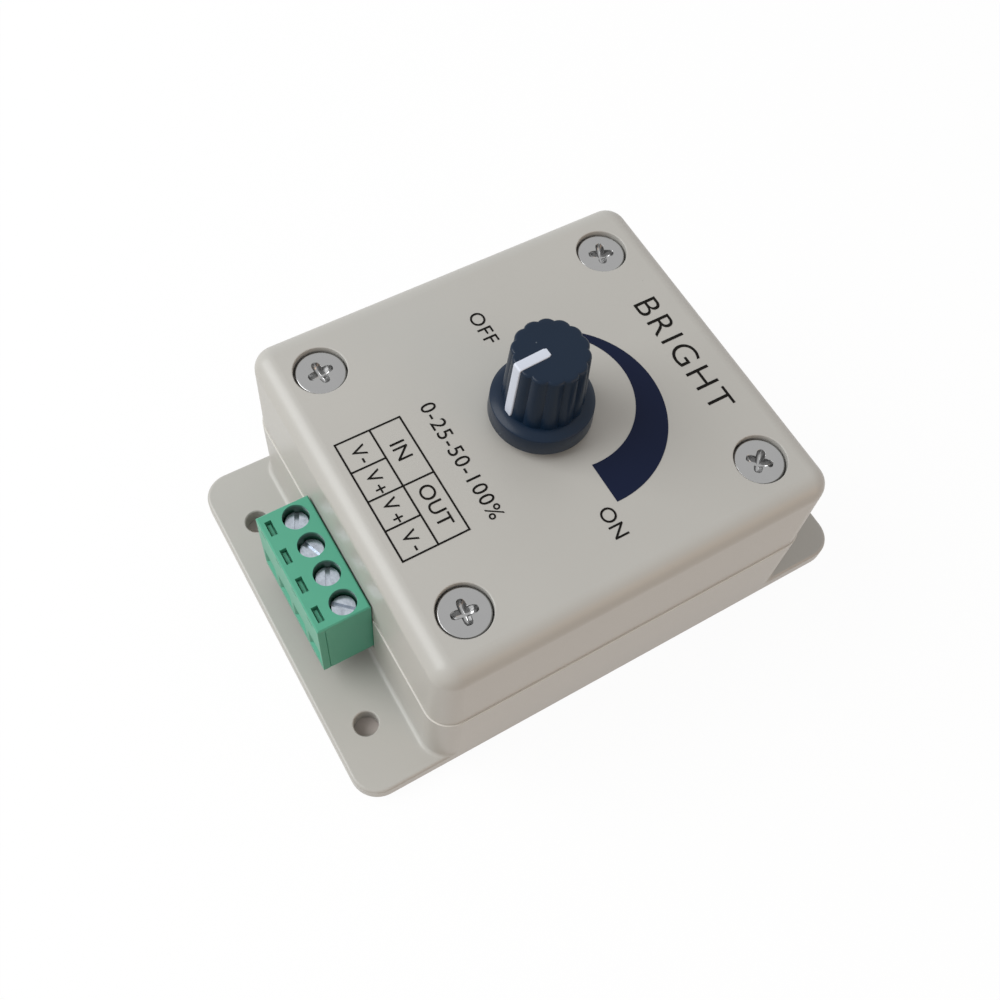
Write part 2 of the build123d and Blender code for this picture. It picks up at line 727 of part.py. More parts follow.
# Clamp screws and the cages that they raise, one pair for each way
for number, (way, turn) in enumerate(zip(way_places, clamp_turns), start=1):
    with BuildPart() as clamp_screw:
        with BuildSketch(Plane.XY.offset(clamp_seat)):
            with Locations((way, clamp_y)):
                Circle(clamp_head_radius)
        extrude(amount=clamp_head_height)
        chamfer(clamp_screw.edges().group_by(Axis.Z)[-1], plug_edge)
        with BuildSketch(Plane.XY.offset(clamp_tip)):
            with Locations((way, clamp_y)):
                Circle(clamp_shank_radius)
        extrude(amount=clamp_seat - clamp_tip)
        with BuildSketch(Plane.XY.offset(clamp_head_top)):
            with Locations((way, clamp_y)):
                Rectangle(2 * clamp_head_radius, clamp_slot_width, rotation=turn)
        extrude(amount=-clamp_slot_depth, mode=Mode.SUBTRACT)
    clamp_screw.part.label = f"clamp_screw_{number}"
    export_step(clamp_screw.part, f"parts/clamp_screw_{number}.step")

    with BuildPart() as clamp_cage:
        with BuildSketch(Plane.XZ.offset(-clamp_y)):
            with Locations((way, (cage_bottom + cage_top) / 2)):
                RectangleRounded(cage_width, cage_top - cage_bottom, cage_side / 2)
            with Locations((way, (window_bottom + window_top) / 2)):
                Rectangle(cage_width - 2 * cage_side, window_top - window_bottom, mode=Mode.SUBTRACT)
        extrude(amount=cage_depth / 2, both=True)
        with BuildSketch(Plane.XY.offset(window_top)):
            with Locations((way, clamp_y)):
                Circle(clamp_shank_radius + thread_gap)
        extrude(amount=cage_roof, mode=Mode.SUBTRACT)
    clamp_cage.part.label = f"clamp_cage_{number}"
    export_step(clamp_cage.part, f"parts/clamp_cage_{number}.step")


# Header: a shroud on the board that takes the plug's nose
with BuildPart() as header_housing:
    with BuildSketch(Plane.XZ.offset(-header_front)):
        with Locations((0, board_top + header_height / 2)):
            Rectangle(plug_width, header_height)
    extrude(amount=header_front - header_rear)
    with BuildSketch(Plane.XZ.offset(-header_front)):
        with Locations((0, board_top + header_height / 2)):
            Rectangle(plug_width - 2 * header_side, header_height - 2 * header_wall)
    extrude(amount=header_front - header_inner, mode=Mode.SUBTRACT)
    with BuildSketch(Plane.XZ.offset(-header_inner)):
        with Locations(*[(way, pin_height) for way in way_places]):
            Rectangle(pin_size, pin_size)
    extrude(amount=-header_back, mode=Mode.SUBTRACT)
header_housing.part.label = "header_housing"
export_step(header_housing.part, "parts/header_housing.step")


# Header pins: square, bent down through the board behind the shroud
with BuildPart() as header_pins:
    pin_low = board_bottom - pin_tail
    for way in way_places:
        with BuildSketch(Plane.YZ.offset(way)):
            with BuildLine():
                Polyline(
                    (pin_tip, pin_height - pin_size / 2),
                    (pin_turn - pin_size / 2, pin_height - pin_size / 2),
                    (pin_turn - pin_size / 2, pin_low),
                    (pin_turn + pin_size / 2, pin_low),
                    (pin_turn + pin_size / 2, pin_height + pin_size / 2),
                    (pin_tip, pin_height + pin_size / 2),
                    close=True,
                )
            make_face()
        extrude(amount=pin_size / 2, both=True)
header_pins.part.label = "header_pins"
export_step(header_pins.part, "parts/header_pins.step")


# Potentiometer bushing: front plate and barrel, with a bore for the shaft
with BuildPart() as pot_bushing:
    with BuildSketch(Plane.XY.offset(plate_bottom)):
        Circle(can_radius)
    extrude(amount=plate_thickness)
    with BuildSketch(Plane.XY.offset(panel_under)):
        Circle(bushing_radius)
    extrude(amount=bushing_length)
    chamfer(pot_bushing.edges().group_by(Axis.Z)[-1], pot_bevel)
    with BuildSketch(Plane.XY.offset(plate_bottom)):
        Circle(shaft_radius + shaft_gap)
    extrude(amount=plate_thickness + bushing_length, mode=Mode.SUBTRACT)
pot_bushing.part.label = "pot_bushing"
export_step(pot_bushing.part, "parts/pot_bushing.step")


# Washer and hex nut on the panel, inside the knob's skirt
with BuildPart() as pot_washer:
    with BuildSketch(Plane.XY.offset(cover_top)):
        Circle(washer_radius)
        Circle(bushing_radius + bushing_hole_gap, mode=Mode.SUBTRACT)
    extrude(amount=washer_thickness)
pot_washer.part.label = "pot_washer"
export_step(pot_washer.part, "parts/pot_washer.step")

with BuildPart() as pot_nut:
    with BuildSketch(Plane.XY.offset(nut_bottom)):
        RegularPolygon(nut_flats / 2, 6, major_radius=False)
        Circle(bushing_radius + thread_gap, mode=Mode.SUBTRACT)
    extrude(amount=nut_thickness)
pot_nut.part.label = "pot_nut"
export_step(pot_nut.part, "parts/pot_nut.step")


# Resistive wafer with a tail for the lugs
with BuildPart() as pot_wafer:
    with BuildSketch(Plane.XY.offset(wafer_bottom)):
        Circle(can_radius)
        with Locations((0, wafer_tail_reach / 2)):
            Rectangle(wafer_tail_width, wafer_tail_reach)
        Circle(hub_radius + rotor_gap, mode=Mode.SUBTRACT)
        with Locations(*[(lug, lug_y) for lug in lug_places]):
            Rectangle(lug_width, lug_sheet, mode=Mode.SUBTRACT)
    extrude(amount=wafer_thickness)
pot_wafer.part.label = "pot_wafer"
export_step(pot_wafer.part, "parts/pot_wafer.step")


# Rear can: a pressed cup with three tabs that hold the wafer to the front plate
with BuildPart() as pot_can:
    with BuildSketch(Plane.XY.offset(can_bottom)):
        Circle(can_radius)
    extrude(amount=can_depth)
    fillet(pot_can.edges().group_by(Axis.Z)[0], 2 * can_sheet)
    with BuildSketch(Plane.XY.offset(can_bottom + can_sheet)):
        Circle(can_radius - can_sheet)
    extrude(amount=can_depth - can_sheet, mode=Mode.SUBTRACT)
    with BuildSketch(Plane.XY.offset(wafer_bottom - can_tab_rise)):
        for angle in (180, 270, 0):
            with Locations((can_radius * cos(radians(angle)), can_radius * sin(radians(angle)))):
                Rectangle(2 * can_sheet, can_tab_width, rotation=angle)
        Circle(can_radius, mode=Mode.SUBTRACT)
    extrude(amount=can_tab_rise + wafer_thickness + plate_thickness / 2)
pot_can.part.label = "pot_can"
export_step(pot_can.part, "parts/pot_can.step")


# Solder lugs through the wafer's tail
with BuildPart() as pot_lugs:
    with BuildSketch(Plane.XY.offset(wafer_bottom - lug_drop)):
        with Locations(*[(lug, lug_y) for lug in lug_places]):
            Rectangle(lug_width, lug_sheet)
    extrude(amount=lug_drop + wafer_thickness)
pot_lugs.part.label = "pot_lugs"
export_step(pot_lugs.part, "parts/pot_lugs.step")


# Three leads from the lugs down to the board
with BuildPart() as pot_wires:
    lug_bottom = wafer_bottom - lug_drop
    lead_drop = lug_bottom - board_top
    for lug in lug_places:
        with BuildLine():
            FilletPolyline(
                (lug, lug_y, lug_bottom),
                (lug, lug_y, lug_bottom - lead_drop / 3),
                (lug, lug_y + lead_stagger, board_top + lead_drop / 3),
                (lug, lug_y + lead_stagger, board_top),
                radius=lead_drop / 3,
            )
        with BuildSketch(Plane.XY.offset(lug_bottom)):
            with Locations((lug, lug_y)):
                Circle(lead_radius)
        sweep()
pot_wires.part.label = "pot_wires"
export_step(pot_wires.part, "parts/pot_wires.step")


# Shaft: hub, journal and slit end that the knob is pressed on
with BuildPart() as pot_shaft:
    with BuildSketch(Plane.XY.offset(rotor_bottom)):
        Circle(shaft_radius)
    extrude(amount=shaft_top - rotor_bottom)
    chamfer(pot_shaft.edges().group_by(Axis.Z)[-1], pot_bevel)
    with BuildSketch(Plane.XY.offset(shaft_top)):
        Rectangle(2 * shaft_radius, shaft_slit)
    extrude(amount=-shaft_slit_depth, mode=Mode.SUBTRACT)
pot_shaft.part.label = "pot_shaft"
export_step(pot_shaft.part, "parts/pot_shaft.step")


# Rotor on the shaft, with a collar that stops it under the front plate
with BuildPart() as pot_rotor:
    with BuildSketch(Plane.XY.offset(rotor_bottom)):
        Circle(rotor_radius)
    extrude(amount=rotor_thickness)
    with BuildSketch(Plane.XY.offset(rotor_top)):
        Circle(hub_radius)
    extrude(amount=plate_bottom - hub_gap - rotor_top)
    with BuildSketch(Plane.XY.offset(rotor_bottom)):
        Circle(shaft_radius)
    extrude(amount=plate_bottom - rotor_bottom, mode=Mode.SUBTRACT)
pot_rotor.part.label = "pot_rotor"
export_step(pot_rotor.part, "parts/pot_rotor.step")


# Wiper: a thin spring on the rotor's upper face
with BuildPart() as pot_wiper:
    with BuildSketch(Plane.XY.offset(rotor_top)):
        Rectangle(2 * rotor_radius - wiper_width, wiper_width)
        Circle(hub_radius + shaft_gap, mode=Mode.SUBTRACT)
    extrude(amount=wiper_sheet)
pot_wiper.part.label = "pot_wiper"
export_step(pot_wiper.part, "parts/pot_wiper.step")


# Knob: lobed tapering grip on a domed skirt, hollow below for the nut and bored for the shaft
with BuildPart() as knob:
    for height, crest in ((grip_foot, grip_foot_radius), (knob_top, grip_top_radius)):
        lobe = lobe_radius(crest)
        with BuildSketch(Plane.XY.offset(height)):
            Circle(crest - lobe)
            with PolarLocations(crest - lobe, flute_count, start_angle=first_rib):
                Circle(lobe)
    loft(ruled=True)
    with BuildSketch(Plane.XZ):
        with BuildLine():
            edge_low = knob_top - grip_edge
            edge_radius = crest_radius(edge_low)
            Line((0, grip_foot), (skirt_radius, grip_foot))
            Line((skirt_radius, grip_foot), (skirt_radius, edge_low))
            Line((skirt_radius, edge_low), (edge_radius, edge_low))
            RadiusArc((edge_radius, edge_low), (edge_radius - grip_edge, knob_top), -grip_edge)
            Line((edge_radius - grip_edge, knob_top), (0, knob_top))
            Line((0, knob_top), (0, grip_foot))
        make_face()
    revolve(axis=Axis.Z, mode=Mode.INTERSECT)
    with BuildSketch(Plane.XZ) as skirt:
        with BuildLine():
            dome_end = (crest_radius(skirt_top) - flute_depth, skirt_top)
            band_end = (skirt_rim_radius, knob_bottom + skirt_band)
            dome_middle = (
                (dome_end[0] + band_end[0]) / 2 + skirt_bulge,
                (dome_end[1] + band_end[1]) / 2 + skirt_bulge,
            )
            Line((0, knob_bottom), (skirt_radius, knob_bottom))
            Line((skirt_radius, knob_bottom), band_end)
            ThreePointArc(band_end, dome_middle, dome_end)
            Line(dome_end, (0, skirt_top))
            Line((0, skirt_top), (0, knob_bottom))
        make_face()
        fillet(skirt.vertices().sort_by_distance(band_end)[0], skirt_round)
    revolve(axis=Axis.Z)
    for radius, ceiling in (
        (skirt_radius - skirt_wall, nut_top + knob_clear),
        (bushing_radius + knob_clear, bushing_top + knob_clear),
        (shaft_radius + knob_bore_gap, shaft_top + knob_clear),
    ):
        with BuildSketch(Plane.XY.offset(knob_bottom)):
            Circle(radius)
        extrude(amount=ceiling - knob_bottom, mode=Mode.SUBTRACT)
    with BuildSketch(pointer_plane):
        with BuildLine():
            Polyline(*pointer_outline, close=True)
        make_face()
    extrude(amount=pointer_width / 2, both=True, mode=Mode.SUBTRACT)
knob.part.label = "knob"
export_step(knob.part, "parts/knob.step")


# Pointer: a bar let into the knob's top and side
with BuildPart() as knob_pointer:
    with BuildSketch(pointer_plane):
        with BuildLine():
            Polyline(*pointer_outline, close=True)
        make_face()
    extrude(amount=pointer_width / 2, both=True)
knob_pointer.part.label = "knob_pointer"
export_step(knob_pointer.part, "parts/knob_pointer.step")


# Power transistor: moulded body, and its metal tab with three legs through the board
with BuildPart() as transistor_body:
    with BuildSketch(Plane.XY.offset(transistor_bottom)):
        with Locations(transistor_place):
            Rectangle(transistor_depth, transistor_width)
    extrude(amount=transistor_height)
    chamfer(transistor_body.faces().sort_by(Axis.X)[0].edges(), body_bevel)
transistor_body.part.label = "transistor_body"
export_step(transistor_body.part, "parts/transistor_body.step")

with BuildPart() as transistor_frame:
    with BuildSketch(Plane.YZ.offset(tab_face)):
        with Locations((transistor_place[1], transistor_bottom + tab_height / 2)):
            Rectangle(transistor_width, tab_height)
        with Locations((transistor_place[1], tab_hole_height)):
            Circle(tab_hole_radius, mode=Mode.SUBTRACT)
    extrude(amount=tab_thickness)
    with BuildSketch(Plane.XY.offset(board_bottom - leg_width)):
        with Locations(*leg_places):
            Rectangle(leg_sheet, leg_width)
    extrude(amount=transistor_bottom - board_bottom + leg_width)
transistor_frame.part.label = "transistor_frame"
export_step(transistor_frame.part, "parts/transistor_frame.step")


# Heat sink: a finned extrusion standing on the board behind the transistor
with BuildPart() as heat_sink:
    with BuildSketch(Plane.XY.offset(board_top)):
        with Locations((sink_face + sink_plate / 2, transistor_place[1])):
            Rectangle(sink_plate, sink_length)
        with Locations((sink_face + sink_plate + sink_fin_depth / 2, transistor_place[1])):
            with GridLocations(1, (sink_length - sink_fin) / (sink_fin_count - 1), 1, sink_fin_count):
                Rectangle(sink_fin_depth, sink_fin)
    extrude(amount=sink_height)
    with BuildSketch(Plane.YZ.offset(sink_face)):
        with Locations((transistor_place[1], tab_hole_height)):
            Circle(sink_screw_radius + thread_gap)
    extrude(amount=sink_plate, mode=Mode.SUBTRACT)
heat_sink.part.label = "heat_sink"
export_step(heat_sink.part, "parts/heat_sink.step")

with BuildPart() as heat_sink_screw:
    with BuildSketch(Plane.YZ.offset(tab_face)):
        with Locations((transistor_place[1], tab_hole_height)):
            Circle(sink_screw_head_radius)
    extrude(amount=-sink_screw_head_height)
    fillet(heat_sink_screw.edges().group_by(Axis.X)[0], sink_screw_head_height / 3)
    with BuildSketch(Plane.YZ.offset(tab_face)):
        with Locations((transistor_place[1], tab_hole_height)):
            Circle(sink_screw_radius)
    extrude(amount=tab_thickness + sink_plate)
heat_sink_screw.part.label = "heat_sink_screw"
export_step(heat_sink_screw.part, "parts/heat_sink_screw.step")


# Timer chip and its bent legs
with BuildPart() as timer_chip:
    with BuildSketch(Plane.XY.offset(board_top + chip_lift)):
        with Locations(chip_place):
            Rectangle(chip_length, chip_width)
    extrude(amount=chip_height)
    chamfer(timer_chip.faces().sort_by(Axis.Z)[-1].edges(), body_bevel)
timer_chip.part.label = "timer_chip"
export_step(timer_chip.part, "parts/timer_chip.step")

with BuildPart() as chip_legs:
    for side in (-1, 1):
        shoulder = chip_place[1] + side * chip_width / 2
        toe = shoulder + side * chip_leg_spread
        inner_toe = toe - side * chip_leg_sheet
        for index in range(chip_leg_count):
            leg_x = chip_place[0] + (index - (chip_leg_count - 1) / 2) * leg_pitch
            with BuildSketch(Plane.YZ.offset(leg_x)):
                with BuildLine():
                    Polyline(
                        (shoulder, chip_middle),
                        (toe, chip_middle),
                        (toe, board_top),
                        (inner_toe, board_top),
                        (inner_toe, chip_middle - chip_leg_sheet),
                        (shoulder, chip_middle - chip_leg_sheet),
                        close=True,
                    )
                make_face()
            extrude(amount=leg_sheet / 2, both=True)
chip_legs.part.label = "chip_legs"
export_step(chip_legs.part, "parts/chip_legs.step")


# Smoothing capacitor: a rolled can with a crimp near its foot
with BuildPart() as smoothing_capacitor:
    with BuildSketch(Plane.XY.offset(board_top)):
        with Locations(capacitor_place):
            Circle(capacitor_radius)
    extrude(amount=capacitor_height)
    fillet(smoothing_capacitor.edges().group_by(Axis.Z)[-1], 2 * capacitor_crimp)
    with BuildSketch(Plane.XY.offset(board_top + capacitor_crimp_height)):
        with Locations(capacitor_place):
            Circle(capacitor_radius)
            Circle(capacitor_radius - capacitor_crimp, mode=Mode.SUBTRACT)
    extrude(amount=2 * capacitor_crimp, mode=Mode.SUBTRACT)
smoothing_capacitor.part.label = "smoothing_capacitor"
export_step(smoothing_capacitor.part, "parts/smoothing_capacitor.step")


# Film capacitor: a dipped block
with BuildPart() as film_capacitor:
    with BuildSketch(Plane.XY.offset(board_top)):
        with Locations(film_place):
            RectangleRounded(film_length, film_width, film_edge)
    extrude(amount=film_height)
    fillet(film_capacitor.faces().sort_by(Axis.Z)[-1].edges(), film_edge / 2)
film_capacitor.part.label = "film_capacitor"
export_step(film_capacitor.part, "parts/film_capacitor.step")


# Flyback diode: lying barrel with leads bent down to the board
with BuildPart() as flyback_diode:
    diode_height = board_top + diode_radius + leg_gap
    for side in (-1, 1):
        lead_x = diode_place[0] + side * diode_span / 2
        with BuildLine():
            FilletPolyline(
                (lead_x, diode_place[1], board_top),
                (lead_x, diode_place[1], diode_height),
                (diode_place[0], diode_place[1], diode_height),
                radius=2 * diode_lead,
            )
        with BuildSketch(Plane.XY.offset(board_top)):
            with Locations((lead_x, diode_place[1])):
                Circle(diode_lead)
        sweep()
    with BuildSketch(Plane.YZ.offset(diode_place[0])):
        with Locations((diode_place[1], diode_height)):
            Circle(diode_radius)
    extrude(amount=diode_length / 2, both=True)
flyback_diode.part.label = "flyback_diode"
export_step(flyback_diode.part, "parts/flyback_diode.step")


# Resistors: a row of waisted barrels with bent leads
with BuildPart() as resistors:
    resistor_height = board_top + resistor_radius + leg_gap
    for index in range(resistor_count):
        row_y = resistor_place[1] + index * resistor_pitch
        for side in (-1, 1):
            lead_x = resistor_place[0] + side * resistor_span / 2
            with BuildLine():
                FilletPolyline(
                    (lead_x, row_y, board_top),
                    (lead_x, row_y, resistor_height),
                    (resistor_place[0], row_y, resistor_height),
                    radius=2 * resistor_lead,
                )
            with BuildSketch(Plane.XY.offset(board_top)):
                with Locations((lead_x, row_y)):
                    Circle(resistor_lead)
            sweep()
        with BuildSketch(Plane.YZ.offset(resistor_place[0])):
            with Locations((row_y, resistor_height)):
                Circle(resistor_waist)
        extrude(amount=resistor_length / 2, both=True)
        for side in (-1, 1):
            with BuildSketch(Plane.YZ.offset(resistor_place[0] + side * resistor_length / 2)):
                with Locations((row_y, resistor_height)):
                    Circle(resistor_radius)
            extrude(amount=-side * resistor_length / 4)
resistors.part.label = "resistors"
export_step(resistors.part, "parts/resistors.step")


# Regulator: a small half-round body on three legs
with BuildPart() as regulator:
    with BuildSketch(Plane.XY.offset(board_top + regulator_lift)):
        with Locations(regulator_place):
            Circle(regulator_radius)
        with Locations((regulator_place[0], regulator_place[1] - regulator_flat - regulator_radius)):
            Rectangle(2 * regulator_radius, 2 * regulator_radius, mode=Mode.SUBTRACT)
    extrude(amount=regulator_height)
    with BuildSketch(Plane.XY.offset(board_top)):
        with Locations(regulator_place):
            with GridLocations(leg_pitch / 2, 1, 3, 1):
                Rectangle(regulator_leg, regulator_leg)
    extrude(amount=regulator_lift)
regulator.part.label = "regulator"
export_step(regulator.part, "parts/regulator.step")
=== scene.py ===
import json
import math

import bmesh
import bpy
import numpy as np
from mathutils import Matrix, Vector


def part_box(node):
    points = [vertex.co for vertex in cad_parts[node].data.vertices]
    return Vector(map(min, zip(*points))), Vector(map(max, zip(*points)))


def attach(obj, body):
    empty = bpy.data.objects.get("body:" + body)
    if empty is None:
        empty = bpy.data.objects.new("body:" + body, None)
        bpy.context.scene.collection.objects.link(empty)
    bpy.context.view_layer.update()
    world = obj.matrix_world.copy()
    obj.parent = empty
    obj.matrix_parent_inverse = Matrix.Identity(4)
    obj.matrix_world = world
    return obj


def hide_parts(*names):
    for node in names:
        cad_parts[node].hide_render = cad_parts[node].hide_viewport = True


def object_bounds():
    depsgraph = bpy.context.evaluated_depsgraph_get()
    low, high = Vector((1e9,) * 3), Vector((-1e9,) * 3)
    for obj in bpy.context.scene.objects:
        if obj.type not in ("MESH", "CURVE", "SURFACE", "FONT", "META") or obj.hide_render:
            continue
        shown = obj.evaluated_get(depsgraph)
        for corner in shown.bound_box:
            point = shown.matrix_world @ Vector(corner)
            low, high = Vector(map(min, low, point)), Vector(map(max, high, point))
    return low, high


bl_info = {
    "name": "Light dimmer finish",
    "version": (1, 0, 0),
    "blender": (4, 5, 0),
    "location": "View3D > Sidebar > Dimmer",
    "description": "Dresses the packed dimmer box with its knob, screws, print, finishes and stage",
    "category": "Object",
}

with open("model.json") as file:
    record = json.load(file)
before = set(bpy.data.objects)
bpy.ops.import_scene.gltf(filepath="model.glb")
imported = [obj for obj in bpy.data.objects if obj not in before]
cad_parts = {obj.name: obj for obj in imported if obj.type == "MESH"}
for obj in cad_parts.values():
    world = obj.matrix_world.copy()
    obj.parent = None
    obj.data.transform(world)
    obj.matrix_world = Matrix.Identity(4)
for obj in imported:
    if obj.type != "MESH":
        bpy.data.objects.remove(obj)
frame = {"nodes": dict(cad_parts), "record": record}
cad_box = [list(corner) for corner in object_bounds()]

MM = 0.001
WHITE = (1.0, 1.0, 1.0, 1.0)
BLACK = (0.0, 0.0, 0.0, 1.0)

# Rows and columns of the knob's, pointer's and screws' grids
FLUTE_COLUMNS = 20
FACE_ROWS = 9
EDGE_ROWS = 9
GRIP_ROWS = 16
DOME_ROWS = 11
RIM_ROWS = 8
POINTER_RUN_ROWS = 14
POINTER_BEND_ROWS = 10
POINTER_EDGE_COLUMNS = 6
HEAD_COLUMNS = 144
RECESS_ROWS = 52
HEAD_FLAT_ROWS = 7
HEAD_EDGE_ROWS = 6
SHANK_COLUMNS = 28
SHANK_ROWS = 190

# Small forms of the knob and screws, with edges sharper than a crease left hard
FACE_START = 0.08
MEET_ROUNDS = 4
FOOT_LIP = 0.12 * MM
RECESS_START = 0.02 * MM
NECK_SHARE = 1.1
NECK_DEPTH = 0.2 * MM
THREAD_FLANK = 3.2
THREAD_RUN_IN = 1.0 * MM
POINT_SHARE = 0.12
CROSS_TURNS = {(-1, -1): 6.0, (-1, 1): -21.0, (1, -1): -7.0, (1, 1): 45.0}
PLAIN_CREASE = math.radians(40)
KNOB_CREASE = math.radians(34)
SCREW_CREASE = math.radians(32)

# Lettering: the capitals' share of the font's size, and the steps in a letter's curve
CAP_SHARE = 0.73
LETTER_STEPS = 8

# Finishes, with the painted light on the shells' seam and the painted shade down the terminal's wells
GRAIN_BUMP = 0.02 * MM
NOISE_ROUGHNESS = 0.55
SPECKED_CELLS = 0.72
LINE_STRETCH = (0.12, 1.0, 1.0)
SEAM_BAND = 0.06 * MM
# Colour of the painted light on the seam's bevels
SEAM_PAINTED_LIGHT = (0.65, 0.635, 0.595, 1.0)
WELL_ROOM = 0.15 * MM
WELL_FADE = 0.7 * MM
WELL_SHADE = 0.75

# Stage
KEY_PLACE = (-0.22, -0.39, 0.42)
KEY_SIZE = 0.46
KEY_TINT = (0.97, 0.98, 0.985)
FILL_PLACE = (0.6, 0.25, 0.22)
FILL_SIZE = 0.4
FILL_TINT = (1.0, 0.50, 0.14)
FLOOR_HALF = 3.0
FLOOR_DROP = 0.05 * MM
FOOTPRINT_INSET = 2 * MM
SEEN_TONE = (0.95, 0.95, 0.95, 1.0)
BOUNCE_TONE = (0.52, 0.45, 0.37, 1.0)
# Painted shade: the floor's darker colour under the box
UNDER_PAINTED_SHADE = (0.52, 0.47, 0.44, 1.0)
SENSOR_WIDTH = 36.0
NEAR_CLIP = 0.01

knob_low, knob_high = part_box("knob")
nut_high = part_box("pot_nut")[1]
bushing_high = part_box("pot_bushing")[1]
shaft_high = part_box("pot_shaft")[1]
screws_low, screws_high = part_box("case_screws")
panel_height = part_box("dial_arc")[0].z
ink_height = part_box("dial_arc")[1].z


class KnobShape(bpy.types.PropertyGroup):
    """Sizes of the fluted knob and its pointer."""

    flutes: bpy.props.IntProperty(
        name="Flutes", description="Round ribs on the grip",
        default=14, min=6, max=48,
    )
    flute_depth: bpy.props.FloatProperty(
        name="Flute depth", description="From a rib's crest down to the groove",
        default=0.34 * MM, unit="LENGTH",
    )
    foot_radius: bpy.props.FloatProperty(
        name="Foot radius", description="Over the ribs, level with the skirt's rim",
        default=5.82 * MM, unit="LENGTH",
    )
    top_radius: bpy.props.FloatProperty(
        name="Top radius", description="Over the ribs, at the top face",
        default=5.3 * MM, unit="LENGTH",
    )
    edge: bpy.props.FloatProperty(
        name="Top edge", description="Radius that rounds the top face into the ribs",
        default=0.4 * MM, unit="LENGTH",
    )
    band: bpy.props.FloatProperty(
        name="Skirt band", description="Height of the skirt's rim over its foot",
        default=3.05 * MM, unit="LENGTH",
    )
    rim_radius: bpy.props.FloatProperty(
        name="Rim radius", description="Radius of the skirt at its rim",
        default=7.32 * MM, unit="LENGTH",
    )
    rim_round: bpy.props.FloatProperty(
        name="Rim round", description="Radius that rounds the skirt's rim",
        default=0.25 * MM, unit="LENGTH",
    )
    skirt: bpy.props.FloatProperty(
        name="Skirt height", description="Height at which the dome meets the grooves",
        default=3.75 * MM, unit="LENGTH",
    )
    bulge: bpy.props.FloatProperty(
        name="Skirt bulge", description="How far the dome swells past a straight cone",
        default=0.12 * MM, unit="LENGTH",
    )
    wall: bpy.props.FloatProperty(
        name="Skirt wall", description="Thickness of the skirt round the nut",
        default=1.2 * MM, unit="LENGTH",
    )
    bush_bore: bpy.props.FloatProperty(
        name="Bushing bore", description="Radius of the bore round the bushing",
        default=3.8 * MM, unit="LENGTH",
    )
    shaft_fit: bpy.props.FloatProperty(
        name="Shaft fit", description="Clearance of the bore round the shaft",
        default=0.02 * MM, unit="LENGTH",
    )
    room: bpy.props.FloatProperty(
        name="Inside room", description="Clearance over the nut, bushing and shaft",
        default=0.3 * MM, unit="LENGTH",
    )
    pointer_turn: bpy.props.FloatProperty(
        name="Pointer turn", description="Turn of the pointer from straight down the panel",
        subtype="ANGLE", default=math.radians(2.5),
    )
    pointer_width: bpy.props.FloatProperty(
        name="Pointer width", description="Width of the pointer's bar",
        default=1.5 * MM, unit="LENGTH",
    )
    pointer_back: bpy.props.FloatProperty(
        name="Pointer start", description="From the axis to the bar's inner end",
        default=0.45 * MM, unit="LENGTH",
    )
    pointer_proud: bpy.props.FloatProperty(
        name="Pointer rise", description="How far the bar stands over the ribs",
        default=0.12 * MM, unit="LENGTH",
    )
    pointer_drop: bpy.props.FloatProperty(
        name="Pointer foot", description="How far the bar runs below the dome's end",
        default=0.25 * MM, unit="LENGTH",
    )
    pointer_bend: bpy.props.FloatProperty(
        name="Pointer bend", description="Radius of the bar's bend at the knob's edge",
        default=0.36 * MM, unit="LENGTH",
    )
    pointer_round: bpy.props.FloatProperty(
        name="Pointer edge", description="Radius along the pointer's edges",
        default=0.16 * MM, unit="LENGTH",
    )
    pointer_depth: bpy.props.FloatProperty(
        name="Pointer depth", description="How deep the bar sits under its face",
        default=0.62 * MM, unit="LENGTH",
    )


class ScrewShape(bpy.types.PropertyGroup):
    """Sizes of the case screws."""

    head_radius: bpy.props.FloatProperty(
        name="Head radius", description="Radius of the head",
        default=3.68 * MM, unit="LENGTH",
    )
    head_height: bpy.props.FloatProperty(
        name="Head height", description="From the head's seat to its top",
        default=1.6 * MM, unit="LENGTH",
    )
    head_edge: bpy.props.FloatProperty(
        name="Head edge", description="Radius round the head's rim",
        default=0.3 * MM, unit="LENGTH",
    )
    wing_reach: bpy.props.FloatProperty(
        name="Wing reach", description="From the centre to the tip of a cross wing",
        default=1.95 * MM, unit="LENGTH",
    )
    wing_half: bpy.props.FloatProperty(
        name="Wing half width", description="Half the width of a cross wing",
        default=0.64 * MM, unit="LENGTH",
    )
    recess: bpy.props.FloatProperty(
        name="Recess depth", description="Depth of the cross",
        default=1.25 * MM, unit="LENGTH",
    )
    shank_radius: bpy.props.FloatProperty(
        name="Shank radius", description="Over the thread's crests",
        default=1.45 * MM, unit="LENGTH",
    )
    thread_top: bpy.props.FloatProperty(
        name="Thread top", description="Height at which the thread begins",
        default=17.4 * MM, unit="LENGTH",
    )
    thread_pitch: bpy.props.FloatProperty(
        name="Thread pitch", description="Rise of the thread in one turn",
        default=1.3 * MM, unit="LENGTH",
    )
    thread_depth: bpy.props.FloatProperty(
        name="Thread depth", description="From crest to root of the thread",
        default=0.4 * MM, unit="LENGTH",
    )
    tip: bpy.props.FloatProperty(
        name="Tip", description="Length over which the shank draws in to its point",
        default=2.9 * MM, unit="LENGTH",
    )


